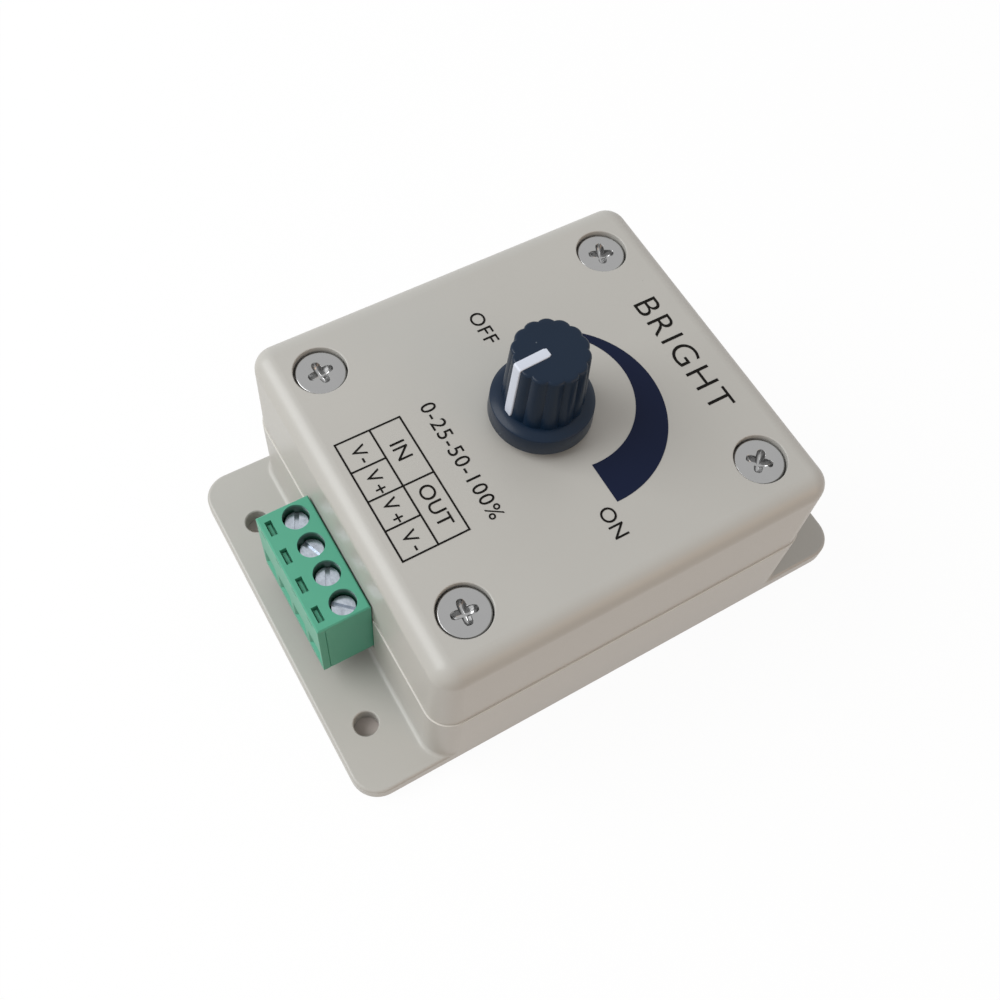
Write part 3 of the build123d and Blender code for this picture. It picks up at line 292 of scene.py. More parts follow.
class PrintLayout(bpy.types.PropertyGroup):
    """Sizes of the lettering on the panel."""

    title_cap: bpy.props.FloatProperty(
        name="Title height", description="Height of the title's capitals",
        default=4.1 * MM, unit="LENGTH",
    )
    word_cap: bpy.props.FloatProperty(
        name="Word height", description="Height of the other capitals",
        default=2.32 * MM, unit="LENGTH",
    )
    mark_cap: bpy.props.FloatProperty(
        name="Mark height", description="Height of the terminal marks",
        default=2.15 * MM, unit="LENGTH",
    )
    tracking: bpy.props.FloatProperty(
        name="Tracking", description="Spacing of the title's letters, 1 being the font's own",
        default=1.16, min=0.5, max=3.0,
    )
    thinning: bpy.props.FloatProperty(
        name="Thinning", description="Taken off each side of the title's strokes",
        default=0.045 * MM, unit="LENGTH",
    )


class Colours(bpy.types.PropertyGroup):
    """Base colours of the finishes that show."""

    case: bpy.props.FloatVectorProperty(
        name="Case", description="Moulded case",
        subtype="COLOR", size=3, default=(0.455, 0.445, 0.415),
    )
    knob: bpy.props.FloatVectorProperty(
        name="Knob", description="Moulded knob",
        subtype="COLOR", size=3, default=(0.0034, 0.0136, 0.0330),
    )
    pointer: bpy.props.FloatVectorProperty(
        name="Pointer", description="Inlaid pointer",
        subtype="COLOR", size=3, default=(0.60, 0.64, 0.73),
    )
    arc: bpy.props.FloatVectorProperty(
        name="Arc", description="Printed dial arc",
        subtype="COLOR", size=3, default=(0.0060, 0.0105, 0.033),
    )
    ink: bpy.props.FloatVectorProperty(
        name="Ink", description="Lettering and table",
        subtype="COLOR", size=3, default=(0.0075, 0.0065, 0.0055),
    )
    terminal: bpy.props.FloatVectorProperty(
        name="Terminal", description="Moulded terminal",
        subtype="COLOR", size=3, default=(0.080, 0.350, 0.230),
    )
    zinc: bpy.props.FloatVectorProperty(
        name="Zinc", description="Plated screws",
        subtype="COLOR", size=3, default=(0.37, 0.37, 0.368),
    )


class StageSetup(bpy.types.PropertyGroup):
    """Camera, lamps and floor."""

    azimuth: bpy.props.FloatProperty(
        name="Azimuth", description="Camera's bearing",
        subtype="ANGLE", default=math.radians(52.067),
    )
    elevation: bpy.props.FloatProperty(
        name="Elevation", description="Camera's height angle",
        subtype="ANGLE", default=math.radians(61.915),
    )
    roll: bpy.props.FloatProperty(
        name="Roll", description="Camera's turn about its view",
        subtype="ANGLE", default=math.radians(8.681),
    )
    place: bpy.props.FloatVectorProperty(
        name="Place", description="Camera's place",
        subtype="XYZ", unit="LENGTH", size=3,
        default=(66.41 * MM, -56.39 * MM, 170.23 * MM),
    )
    lens: bpy.props.FloatProperty(
        name="Lens", description="Focal length in millimetres",
        default=41.2, min=1.0,
    )
    key_power: bpy.props.FloatProperty(name="Key", description="Key lamp", unit="POWER", default=2.8)
    fill_power: bpy.props.FloatProperty(name="Fill", description="Warm fill lamp", unit="POWER", default=0.55)
    sky: bpy.props.FloatProperty(name="Sky", description="Soft light from all round", default=0.54, min=0.0)
    floor_glow: bpy.props.FloatProperty(
        name="Floor glow", description="Share of plain white in the floor that the camera sees",
        subtype="FACTOR", default=0.95, min=0.0, max=1.0,
    )


class DimmerSettings(bpy.types.PropertyGroup):
    """Everything that a user of the dimmer may change."""

    knob: bpy.props.PointerProperty(type=KnobShape)
    screws: bpy.props.PointerProperty(type=ScrewShape)
    lettering: bpy.props.PointerProperty(type=PrintLayout)
    colours: bpy.props.PointerProperty(type=Colours)
    stage: bpy.props.PointerProperty(type=StageSetup)


# Mesh helpers


def ring_quads(rows, columns, start=0):
    """Quads between neighbouring rows of a grid whose last column joins the first."""
    row, column = np.meshgrid(np.arange(rows - 1), np.arange(columns), indexing="ij")
    after = (column + 1) % columns
    this_row, next_row = row * columns, (row + 1) * columns
    corners = (this_row + column, this_row + after, next_row + after, next_row + column)
    return np.stack(corners, -1).reshape(-1, 4) + start


def closed_grid(grid, start=0):
    """Vertices and faces of a grid closed at both ends, each end by a fan to the mean of its row."""
    rows, columns = grid.shape[:2]
    poles = np.stack([grid[0].mean(0), grid[-1].mean(0)])
    vertices = np.concatenate([grid.reshape(-1, 3), poles])
    column = np.arange(columns)
    after = (column + 1) % columns
    first = np.stack([after, column, np.full(columns, rows * columns)], -1)
    last_row = (rows - 1) * columns
    last = np.stack([last_row + column, last_row + after, np.full(columns, rows * columns + 1)], -1)
    faces = ring_quads(rows, columns, start).tolist() + (first + start).tolist() + (last + start).tolist()
    return vertices, faces


def add_piece(name, vertices, faces, body, slot, crease=PLAIN_CREASE):
    """Object at the origin with its finish, hard only at edges sharper than the crease, riding on a body."""
    mesh = bpy.data.meshes.new(name)
    mesh.from_pydata(np.asarray(vertices).tolist(), [], faces)
    work = bmesh.new()
    work.from_mesh(mesh)
    bmesh.ops.recalc_face_normals(work, faces=work.faces)
    work.to_mesh(mesh)
    work.free()
    mesh.polygons.foreach_set("use_smooth", np.ones(len(mesh.polygons), bool))
    mesh.set_sharp_from_angle(angle=crease)
    piece = bpy.data.objects.new(name, mesh)
    bpy.context.scene.collection.objects.link(piece)
    piece.data.materials.append(finish(slot))
    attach(piece, body)
    return piece


# Node helpers


def add_node(tree, kind, place, inputs=None, **settings):
    """A shader node with its settings and its unlinked inputs."""
    made = tree.nodes.new(kind)
    made.location = place
    for key, value in settings.items():
        setattr(made, key, value)
    for key, value in (inputs or {}).items():
        made.inputs[key].default_value = value
    return made


def calc(tree, operation, place, inputs=None):
    """A Math node for one operation, with its unlinked inputs."""
    return add_node(tree, "ShaderNodeMath", place, inputs, operation=operation)


def wire(tree, *runs):
    """Link sockets. Each run gives a node, its output, another node and its input."""
    for start, output, end, entry in runs:
        tree.links.new(start.outputs[output], end.inputs[entry])


def new_group(name, inputs, outputs):
    """An empty shader node group with named sockets, and its input and output nodes."""
    tree = bpy.data.node_groups.new(name, "ShaderNodeTree")
    for label, kind, default in inputs:
        socket = tree.interface.new_socket(name=label, in_out="INPUT", socket_type=kind)
        socket.default_value = default
    for label, kind in outputs:
        tree.interface.new_socket(name=label, in_out="OUTPUT", socket_type=kind)
    source = add_node(tree, "NodeGroupInput", (-900, 0))
    target = add_node(tree, "NodeGroupOutput", (700, 0))
    return tree, source, target


def noise_of_size(tree, source, socket, place, detail):
    """Noise on Object coordinates whose patches are as large as a group input says."""
    x, y = place
    where = add_node(tree, "ShaderNodeTexCoord", (x - 400, y))
    per_metre = calc(tree, "DIVIDE", (x - 200, y - 150), {0: 1.0})
    noise = add_node(tree, "ShaderNodeTexNoise", place, {"Detail": detail, "Roughness": NOISE_ROUGHNESS})
    wire(
        tree,
        (source, socket, per_metre, 1),
        (where, "Object", noise, "Vector"),
        (per_metre, "Value", noise, "Scale"),
    )
    return noise


def spread_about(tree, noise, base, spread, place):
    """base + spread * (noise - 0.5), from two group inputs."""
    centred = calc(tree, "SUBTRACT", place, {1: 0.5})
    scaled = calc(tree, "MULTIPLY_ADD", (place[0] + 180, place[1]))
    tree.links.new(noise, centred.inputs[0])
    tree.links.new(centred.outputs["Value"], scaled.inputs[0])
    tree.links.new(spread, scaled.inputs[1])
    if isinstance(base, float):
        scaled.inputs[2].default_value = base
    else:
        tree.links.new(base, scaled.inputs[2])
    return scaled.outputs["Value"]


SKIN_INPUTS = [
    ("Tint", "NodeSocketColor", (0.5, 0.5, 0.5, 1.0)),
    ("Drift", "NodeSocketFloat", 0.06),
    ("Patch Size", "NodeSocketFloat", 0.012),
    ("Grain Size", "NodeSocketFloat", 0.0003),
    ("Roughness", "NodeSocketFloat", 0.45),
    ("Roughness Spread", "NodeSocketFloat", 0.12),
    ("Speck Tint", "NodeSocketColor", (0.1, 0.09, 0.07, 1.0)),
    ("Speck Spacing", "NodeSocketFloat", 0.004),
    ("Speck Size", "NodeSocketFloat", 0.0),
]
SKIN_OUTPUTS = [("Color", "NodeSocketColor"), ("Roughness", "NodeSocketFloat"), ("Height", "NodeSocketFloat")]


def skin_group():
    """Moulded skin: broad drift of shade, fine grain for gloss and bump, and sparse specks.

    The shade is the tint times 1 plus drift times centred broad noise. Roughness is its base plus its spread
    times centred fine noise. A speck lies where the distance to a cell's point is under the speck size, in
    the cells whose own random value is high.
    """
    if "Moulded skin" in bpy.data.node_groups:
        return bpy.data.node_groups["Moulded skin"]
    tree, source, target = new_group("Moulded skin", SKIN_INPUTS, SKIN_OUTPUTS)
    broad = noise_of_size(tree, source, "Patch Size", (-500, 300), 3.0)
    fine = noise_of_size(tree, source, "Grain Size", (-500, -100), 2.0)
    shade = spread_about(tree, broad.outputs["Fac"], 1.0, source.outputs["Drift"], (-300, 300))
    base, spread = source.outputs["Roughness"], source.outputs["Roughness Spread"]
    rough = spread_about(tree, fine.outputs["Fac"], base, spread, (-300, -100))
    tinted = add_node(tree, "ShaderNodeHueSaturation", (60, 300))
    where = add_node(tree, "ShaderNodeTexCoord", (-900, -500))
    per_metre = calc(tree, "DIVIDE", (-700, -620), {0: 1.0})
    cells = add_node(tree, "ShaderNodeTexVoronoi", (-500, -500), {"Randomness": 1.0})
    reach = calc(tree, "DIVIDE", (-500, -760))
    near = calc(tree, "LESS_THAN", (-300, -560))
    chosen = calc(tree, "GREATER_THAN", (-300, -720), {1: SPECKED_CELLS})
    mask = calc(tree, "MULTIPLY", (-120, -620))
    split = add_node(tree, "ShaderNodeSeparateColor", (-420, -900))
    mixed = add_node(tree, "ShaderNodeMix", (300, 200), data_type="RGBA")
    tree.links.new(shade, tinted.inputs["Value"])
    tree.links.new(rough, target.inputs["Roughness"])
    wire(
        tree,
        (source, "Tint", tinted, "Color"),
        (source, "Speck Spacing", per_metre, 1),
        (per_metre, "Value", cells, "Scale"),
        (where, "Object", cells, "Vector"),
        (source, "Speck Size", reach, 0),
        (source, "Speck Spacing", reach, 1),
        (cells, "Distance", near, 0),
        (reach, "Value", near, 1),
        (cells, "Color", split, "Color"),
        (split, "Red", chosen, 0),
        (near, "Value", mask, 0),
        (chosen, "Value", mask, 1),
        (mask, "Value", mixed, "Factor"),
        (tinted, "Color", mixed, "A"),
        (source, "Speck Tint", mixed, "B"),
        (mixed, "Result", target, "Color"),
        (fine, "Fac", target, "Height"),
    )
    return tree


PLATE_INPUTS = [
    ("Tint", "NodeSocketColor", (0.6, 0.6, 0.6, 1.0)),
    ("Stain", "NodeSocketColor", (0.4, 0.36, 0.3, 1.0)),
    ("Stain Share", "NodeSocketFloat", 0.3),
    ("Patch Size", "NodeSocketFloat", 0.002),
    ("Line Size", "NodeSocketFloat", 0.0004),
    ("Roughness", "NodeSocketFloat", 0.35),
    ("Roughness Spread", "NodeSocketFloat", 0.2),
]


def plate_group():
    """Plated metal: a tint that mixes to a stain in patches, over fine rolled lines stretched along X.

    The mix is the stain share times broad noise. Roughness is its base plus its spread times centred noise on
    coordinates shrunk along X, so that its streaks run that way.
    """
    if "Plated metal" in bpy.data.node_groups:
        return bpy.data.node_groups["Plated metal"]
    tree, source, target = new_group("Plated metal", PLATE_INPUTS, SKIN_OUTPUTS)
    broad = noise_of_size(tree, source, "Patch Size", (-500, 300), 4.0)
    lines = noise_of_size(tree, source, "Line Size", (-500, -100), 2.0)
    squeeze = add_node(tree, "ShaderNodeMapping", (-700, 60), {"Scale": LINE_STRETCH})
    tree.links.new(lines.inputs["Vector"].links[0].from_socket, squeeze.inputs["Vector"])
    share = calc(tree, "MULTIPLY", (-200, 300))
    mixed = add_node(tree, "ShaderNodeMix", (60, 300), data_type="RGBA")
    base, spread = source.outputs["Roughness"], source.outputs["Roughness Spread"]
    rough = spread_about(tree, lines.outputs["Fac"], base, spread, (-300, -100))
    tree.links.new(rough, target.inputs["Roughness"])
    wire(
        tree,
        (squeeze, "Vector", lines, "Vector"),
        (broad, "Fac", share, 0),
        (source, "Stain Share", share, 1),
        (share, "Value", mixed, "Factor"),
        (source, "Tint", mixed, "A"),
        (source, "Stain", mixed, "B"),
        (mixed, "Result", target, "Color"),
        (lines, "Fac", target, "Height"),
    )
    return tree


def moulded(tint, gloss, grain=0.0003, drift=0.06, spread=0.12, bump=0.25, specular=0.5, **specks):
    """Values of a moulded, printed or sheathed finish."""
    values = {"Tint": (*tint, 1.0), "Drift": drift, "Grain Size": grain}
    values |= {"Roughness": gloss, "Roughness Spread": spread}
    values |= specks
    return {"group": skin_group, "values": values, "bump": bump, "specular": specular, "metallic": 0.0}


def plated(tint, gloss, stain, share=0.3, patch=0.002, lines=0.0004, spread=0.2, bump=0.15):
    """Values of a metal finish."""
    values = {"Tint": (*tint, 1.0), "Stain": (*stain, 1.0), "Stain Share": share, "Patch Size": patch}
    values |= {"Line Size": lines, "Roughness": gloss, "Roughness Spread": spread}
    return {"group": plate_group, "values": values, "bump": bump, "specular": 0.5, "metallic": 1.0}


def finish_values(slot):
    """What sets one slot's finish apart: its colour, gloss, grain and marks."""
    colours = bpy.context.scene.dimmer.colours
    table = {
        "case_plastic": moulded(
            colours.case, 0.36, grain=0.00035, drift=0.05, bump=0.12, spread=0.10,
            **{"Speck Size": 0.0001, "Speck Spacing": 0.006, "Speck Tint": (0.16, 0.14, 0.11, 1.0)},
        ),
        "knob_plastic": moulded(
            colours.knob, 0.31, grain=0.00022, drift=0.25, bump=0.25, specular=0.22,
            **{"Speck Size": 0.0001, "Speck Spacing": 0.0016, "Speck Tint": (0.09, 0.11, 0.13, 1.0)},
        ),
        "pointer_white": moulded(colours.pointer, 0.42, drift=0.06),
        "navy_ink": moulded(colours.arc, 0.48, grain=0.0002, drift=0.18, bump=0.2, specular=0.1),
        "black_ink": moulded(colours.ink, 0.5, grain=0.00015, drift=0.3, bump=0.2, specular=0.06),
        "terminal_green": moulded(colours.terminal, 0.42, grain=0.00025, drift=0.10, bump=0.3, specular=0.4),
        "zinc_steel": plated(colours.zinc, 0.2, (0.30, 0.30, 0.31), share=0.3, spread=0.1),
        "clamp_steel": plated(
            (0.66, 0.72, 0.80), 0.2, (0.10, 0.12, 0.15), share=0.8, patch=0.0009, spread=0.1
        ),
        "pot_metal": plated((0.50, 0.49, 0.47), 0.38, (0.35, 0.32, 0.27)),
        "contact_brass": plated((0.62, 0.55, 0.40), 0.30, (0.45, 0.33, 0.16), share=0.5),
        "phenolic": moulded((0.16, 0.075, 0.03), 0.55, drift=0.35, grain=0.0006),
        "board_laminate": moulded((0.015, 0.085, 0.035), 0.35, drift=0.5, grain=0.0009, bump=0.3),
        "black_epoxy": moulded((0.012, 0.012, 0.013), 0.6, drift=0.3, grain=0.0002, bump=0.5),
        "sink_aluminium": plated((0.66, 0.66, 0.67), 0.40, (0.5, 0.5, 0.52), lines=0.0002),
        "capacitor_sleeve": moulded((0.010, 0.011, 0.030), 0.28, drift=0.2),
        "film_dip": moulded((0.28, 0.035, 0.012), 0.25, drift=0.2, grain=0.0009),
        "resistor_coat": moulded((0.44, 0.27, 0.12), 0.4, drift=0.2),
        "wire_sheath": moulded((0.34, 0.018, 0.012), 0.45, drift=0.15),
    }
    return table[slot]


def shade_wells(tree, colour):
    """The colour darkened down the terminal's screw wells.

    A point is in a well where its distance from the nearest screw's axis is under the head's radius and a
    little room. The axes repeat along X at the terminal's pitch, so the distance along X wraps at half a
    pitch. The shade grows with the depth below the terminal's top, up to its full share.
    """
    low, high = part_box("clamp_screw_1")
    pitch = abs(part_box("clamp_screw_2")[0].x - low.x)
    mouth = (low.x + high.x) / 2, (low.y + high.y) / 2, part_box("plug_housing")[1].z
    radius = (high.x - low.x) / 2 + WELL_ROOM
    fade = {"From Min": 0.0, "From Max": -WELL_FADE, "To Max": WELL_SHADE}
    where = add_node(tree, "ShaderNodeTexCoord", (-1500, 500))
    moved = add_node(tree, "ShaderNodeVectorMath", (-1300, 500), {1: mouth}, operation="SUBTRACT")
    split = add_node(tree, "ShaderNodeSeparateXYZ", (-1100, 500))
    along = calc(tree, "WRAP", (-900, 600), {1: pitch / 2, 2: -pitch / 2})
    flat = add_node(tree, "ShaderNodeCombineXYZ", (-700, 500))
    reach = add_node(tree, "ShaderNodeVectorMath", (-500, 500), operation="LENGTH")
    inside = calc(tree, "LESS_THAN", (-300, 500), {1: radius})
    deep = add_node(tree, "ShaderNodeMapRange", (-300, 300), fade)
    mask = calc(tree, "MULTIPLY", (-100, 400))
    shaded = add_node(tree, "ShaderNodeMix", (0, 200), {"B": BLACK}, data_type="RGBA")
    tree.links.new(colour, shaded.inputs["A"])
    wire(
        tree,
        (where, "Object", moved, 0),
        (moved, "Vector", split, "Vector"),
        (split, "X", along, 0),
        (along, "Value", flat, "X"),
        (split, "Y", flat, "Y"),
        (flat, "Vector", reach, 0),
        (reach, "Value", inside, 0),
        (split, "Z", deep, "Value"),
        (inside, "Value", mask, 0),
        (deep, "Result", mask, 1),
        (mask, "Value", shaded, "Factor"),
    )
    return shaded.outputs["Result"]


def painted_seam_light(tree, colour):
    """The colour made paler on the two shells' bevels, within a narrow band of the seam's height: painted
    light that lifts the shade in the seam's groove.
    """
    band = {1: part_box("case_base")[1].z, 2: SEAM_BAND}
    where = add_node(tree, "ShaderNodeTexCoord", (-900, 300))
    split = add_node(tree, "ShaderNodeSeparateXYZ", (-700, 300))
    near = calc(tree, "COMPARE", (-500, 300), band)
    paler = add_node(tree, "ShaderNodeMix", (-100, 200), {"B": SEAM_PAINTED_LIGHT}, data_type="RGBA")
    tree.links.new(colour, paler.inputs["A"])
    wire(
        tree,
        (where, "Object", split, "Vector"),
        (split, "Z", near, 0),
        (near, "Value", paler, "Factor"),
    )
    return paler.outputs["Result"]


def finish(slot):
    """The slot's material: its group's colour, roughness and height on a Principled shader, made once."""
    if "finish_" + slot in bpy.data.materials:
        return bpy.data.materials["finish_" + slot]
    look = finish_values(slot)
    material = bpy.data.materials.new("finish_" + slot)
    material.use_nodes = True
    tree = material.node_tree
    tree.nodes.clear()
    plain = {"Metallic": look["metallic"], "Specular IOR Level": look["specular"]}
    relief = {"Strength": look["bump"], "Distance": GRAIN_BUMP}
    group = add_node(tree, "ShaderNodeGroup", (-500, 0), look["values"], node_tree=look["group"]())
    shader = add_node(tree, "ShaderNodeBsdfPrincipled", (100, 0), plain)
    bump = add_node(tree, "ShaderNodeBump", (-150, -300), relief)
    out = add_node(tree, "ShaderNodeOutputMaterial", (400, 0))
    colour = group.outputs["Color"]
    # Painted shade down the terminal's screw wells
    if slot == "terminal_green":
        colour = shade_wells(tree, colour)
    # Painted light on the seam's bevels, lifting the shade in their groove
    if slot == "case_plastic":
        colour = painted_seam_light(tree, colour)
    tree.links.new(colour, shader.inputs["Base Color"])
    wire(
        tree,
        (group, "Roughness", shader, "Roughness"),
        (group, "Height", bump, "Height"),
        (bump, "Normal", shader, "Normal"),
        (shader, "BSDF", out, "Surface"),
    )
    return material


# Shapes


def arc_through(first, middle, last):
    """Centre and radius of the circle through three points of a profile."""
    a, b, c = (np.asarray(point, float) for point in (first, middle, last))
    rows = 2 * np.stack([b - a, c - a])
    centre = np.linalg.solve(rows, np.array([b @ b - a @ a, c @ c - a @ a]))
    return centre, np.linalg.norm(centre - a)


def lobed_radius(crest, depth, count, angle):
    """Radius of a ring of round ribs at an angle from the middle of the first rib.

    Each rib is a circle that touches the crest and meets its neighbour depth below it. With d the distance of
    the circle's centre, q its radius and p the angle from the rib's middle, the radius is
    d cos p + sqrt(q^2 - d^2 sin^2 p).
    """
    groove = crest - depth
    turn = math.cos(math.pi / count)
    lobe = (crest**2 + groove**2 - 2 * crest * groove * turn) / (2 * (crest - groove * turn))
    step = 2 * math.pi / count
    from_rib = np.mod(angle + step / 2, step) - step / 2
    centre = crest - lobe
    return centre * np.cos(from_rib) + np.sqrt(lobe**2 - (centre * np.sin(from_rib)) ** 2)


def crest_radius(shape, height):
    """Radius over the ribs at a height, on the straight taper from the skirt's rim to the top face."""
    rise = (height - knob_low.z - shape.band) / (knob_high.z - knob_low.z - shape.band)
    return shape.foot_radius + rise * (shape.top_radius - shape.foot_radius)


def knob_grid(shape):
    """Grid of the knob: rows run down the outside and up the inside, columns run round the axis.

    The top face is the ribs' outline drawn in to the centre, and a quarter round turns it down into the ribs.
    Each column leaves the ribs where they meet the skirt's dome, which is an arc through three points, and
    then follows the dome, a small curve about the skirt's rim and the skirt's cone. The inside is three
    bores, one over the other.
    """
    columns = shape.flutes * FLUTE_COLUMNS
    spin = np.arange(columns) * (2 * math.pi / columns)
    bottom, top = knob_low.z, knob_high.z
    skirt_radius = knob_high.x

    def ribs(height):
        return lobed_radius(crest_radius(shape, height), shape.flute_depth, shape.flutes, spin[None, :])

    inward = np.linspace(FACE_START, 1.0, FACE_ROWS)[:, None]
    face = inward * (ribs(np.array([[top]])) - shape.edge)
    quarter = np.linspace(0, math.pi / 2, EDGE_ROWS)[1:, None]
    edge_height = top - shape.edge * (1 - np.cos(quarter))
    edge = ribs(edge_height) - shape.edge * (1 - np.sin(quarter))

    rim = np.array([shape.rim_radius, bottom + shape.band])
    foot = np.array([skirt_radius, bottom])
    dome_end = np.array([crest_radius(shape, bottom + shape.skirt) - shape.flute_depth, bottom + shape.skirt])
    centre, radius = arc_through(rim, (dome_end + rim) / 2 + shape.bulge, dome_end)

    def dome_height(reach):
        return centre[1] + np.sqrt(radius**2 - (reach - centre[0]) ** 2)

    meet_height = np.full((1, columns), bottom + shape.skirt)
    for _ in range(MEET_ROUNDS):
        meet_height = dome_height(ribs(meet_height))
    share = np.linspace(0, 1, GRIP_ROWS)[1:, None]
    grip_height = (top - shape.edge) * (1 - share) + meet_height * share
    grip = ribs(grip_height)

    down = (foot - rim) / np.linalg.norm(foot - rim)
    inwards = np.array([centre[1] - rim[1], rim[0] - centre[0]]) / radius
    cut = shape.rim_round * math.tan(math.acos(-down @ inwards) / 2)
    dome_low = rim[0] + cut * inwards[0]
    share = np.linspace(0, 1, DOME_ROWS)[1:, None]
    dome = grip[-1:] * (1 - share) + dome_low * share
    s = np.linspace(0, 1, RIM_ROWS)[1:, None]
    dome_point = np.array([dome_low, dome_height(dome_low)])
    rim_curve = (1 - s) ** 2 * dome_point + 2 * s * (1 - s) * rim + s**2 * (rim + cut * down)

    shaft_bore = shaft_high.x + shape.shaft_fit
    bore_end = shaft_bore / 20
    nut_bore = skirt_radius - shape.wall
    nut_room, bush_room, shaft_room = (high.z + shape.room for high in (nut_high, bushing_high, shaft_high))
    inside = np.array([
        foot - FOOT_LIP * down, foot + np.array([-FOOT_LIP, FOOT_LIP]) / 3, foot - np.array([FOOT_LIP, 0.0]),
        (nut_bore, bottom), (nut_bore, nut_room), (shape.bush_bore, nut_room), (shape.bush_bore, bush_room),
        (shaft_bore, bush_room), (shaft_bore, shaft_room), (bore_end, shaft_room),
    ])
    plain = np.concatenate([rim_curve, inside])
    radii = np.concatenate([face, edge, grip, dome, np.repeat(plain[:, :1], columns, axis=1)])
    level = [np.full((len(face), 1), top), edge_height, grip_height, dome_height(dome), plain[:, 1:]]
    heights = np.concatenate([np.broadcast_to(part, (len(part), columns)) for part in level])
    angle = shape.pointer_turn - math.pi / 2 + math.pi / shape.flutes + spin
    return np.stack([radii * np.cos(angle), radii * np.sin(angle), heights], -1)


def pointer_grid(shape):
    """Grid of the pointer: a flat bar's section carried over the knob's top, round its edge and down.

    The path, in distance from the axis and height, is two straight runs joined by an arc. The section is a
    rectangle whose outer corners are rounded, and it narrows over one edge radius at each end, so that the
    ends are rounded too. The whole is turned about the axis to where the pointer stands.
    """
    half, bend, corner = shape.pointer_width / 2, shape.pointer_bend, shape.pointer_round
    top = knob_high.z + shape.pointer_proud
    foot_height = knob_low.z + shape.skirt - shape.pointer_drop
    side_foot = np.array([crest_radius(shape, foot_height) + shape.pointer_proud, foot_height])
    slope = math.atan2(shape.foot_radius - shape.top_radius, knob_high.z - knob_low.z - shape.band)
    outward = np.array([math.cos(slope), math.sin(slope)])
    bend_height = top - bend
    bend_reach = (side_foot @ outward - bend - bend_height * outward[1]) / outward[0]
    turn = np.linspace(math.pi / 2, slope, POINTER_BEND_ROWS)
    facing_arc = np.stack([np.cos(turn), np.sin(turn)], -1)
    arc = np.array([bend_reach, bend_height]) + bend * facing_arc
    run = np.linspace(0, 1, POINTER_RUN_ROWS)[:, None]
    first = np.array([shape.pointer_back, top]) * (1 - run) + arc[0] * run
    last = arc[-1] * (1 - run) + side_foot * run
    path = np.concatenate([first[:-1], arc, last[1:]])
    facing = np.concatenate([
        np.tile([0.0, 1.0], (len(first) - 1, 1)), facing_arc, np.tile(outward, (len(last) - 1, 1)),
    ])
    quarter = np.linspace(0, math.pi / 2, POINTER_EDGE_COLUMNS)
    across = np.concatenate([
        [-half], -half + corner - corner * np.cos(quarter), half - corner + corner * np.sin(quarter), [half],
    ])
    sink = np.concatenate([
        [-shape.pointer_depth], -corner + corner * np.sin(quarter), -corner + corner * np.cos(quarter),
        [-shape.pointer_depth],
    ])
    length = np.concatenate([[0], np.cumsum(np.linalg.norm(np.diff(path, axis=0), axis=1))])
    to_end = np.clip(np.minimum(length, length[-1] - length), 0, corner)
    narrow = 1 - (corner - np.sqrt(corner**2 - (corner - to_end) ** 2)) / half
    aside = across[None, :] * narrow[:, None]
    reach = path[:, :1] + facing[:, :1] * sink[None, :]
    height = path[:, 1:] + facing[:, 1:] * sink[None, :]
    angle = shape.pointer_turn - math.pi / 2
    cosine, sine = math.cos(angle), math.sin(angle)
    return np.stack([reach * cosine - aside * sine, reach * sine + aside * cosine, height], -1)


def screw_grids(shape, place, turn):
    """Two grids of a case screw: its head with a cross recess, and its threaded shank.

    The head's top is sunk by the deeper of two crossed wings. A wing's depth is the recess times 1 less the
    fourth power of the share of its reach and less the cube of the share of its half width, and nothing
    outside. The shank's radius falls from the crest by the thread depth times a sharpened wave of height over
    pitch less angle over a turn, and draws in to a point.
    """
    top, low = screws_high.z, screws_low.z
    seat = top - shape.head_height
    angle = np.arange(HEAD_COLUMNS) * (2 * math.pi / HEAD_COLUMNS)
    flat = shape.head_radius - shape.head_edge
    cross_rows = np.linspace(RECESS_START, shape.wing_reach, RECESS_ROWS)
    rows = np.concatenate([cross_rows, np.linspace(shape.wing_reach, flat, HEAD_FLAT_ROWS)[1:]])
    u = rows[:, None] * np.cos(angle - turn)[None, :]
    v = rows[:, None] * np.sin(angle - turn)[None, :]

    def wing(along, aside):
        share = 1 - (along / shape.wing_reach) ** 4 - np.abs(aside / shape.wing_half) ** 3
        return shape.recess * np.clip(share, 0, 1)

    sunk = np.maximum(wing(u, v), wing(v, u))
    quarter = np.linspace(0, math.pi / 2, HEAD_EDGE_ROWS)[1:]
    edge_radius = flat + shape.head_edge * np.sin(quarter)
    edge_height = top - shape.head_edge + shape.head_edge * np.cos(quarter)
    neck = NECK_SHARE * shape.shank_radius
    neck_end = seat - NECK_DEPTH
    plain = np.array([(shape.head_radius, seat), (neck, seat), (neck, neck_end), (neck / 3, neck_end)])
    radii = np.concatenate([rows, edge_radius, plain[:, 0]])[:, None]
    level_rows = np.concatenate([edge_height, plain[:, 1]])[:, None]
    heights = np.concatenate([top - sunk, np.repeat(level_rows, HEAD_COLUMNS, 1)])
    head_grid = np.stack([place[0] + radii * np.cos(angle), place[1] + radii * np.sin(angle), heights], -1)

    spin = np.arange(SHANK_COLUMNS) * (2 * math.pi / SHANK_COLUMNS)
    level = np.linspace(seat, low, SHANK_ROWS)[:, None]
    wave = np.mod(level / shape.thread_pitch - spin[None, :] / (2 * math.pi), 1.0)
    ridge = np.clip(1 - np.abs(wave - 0.5) * THREAD_FLANK, 0, 1)
    threaded = np.clip((shape.thread_top - level) / THREAD_RUN_IN, 0, 1)
    point = np.clip((level - low) / shape.tip, POINT_SHARE, 1)
    radius = (shape.shank_radius - shape.thread_depth * (1 - ridge) * threaded) * point
    levels = np.broadcast_to(level, radius.shape)
    shank_grid = np.stack([place[0] + radius * np.cos(spin), place[1] + radius * np.sin(spin), levels], -1)
    return head_grid, shank_grid


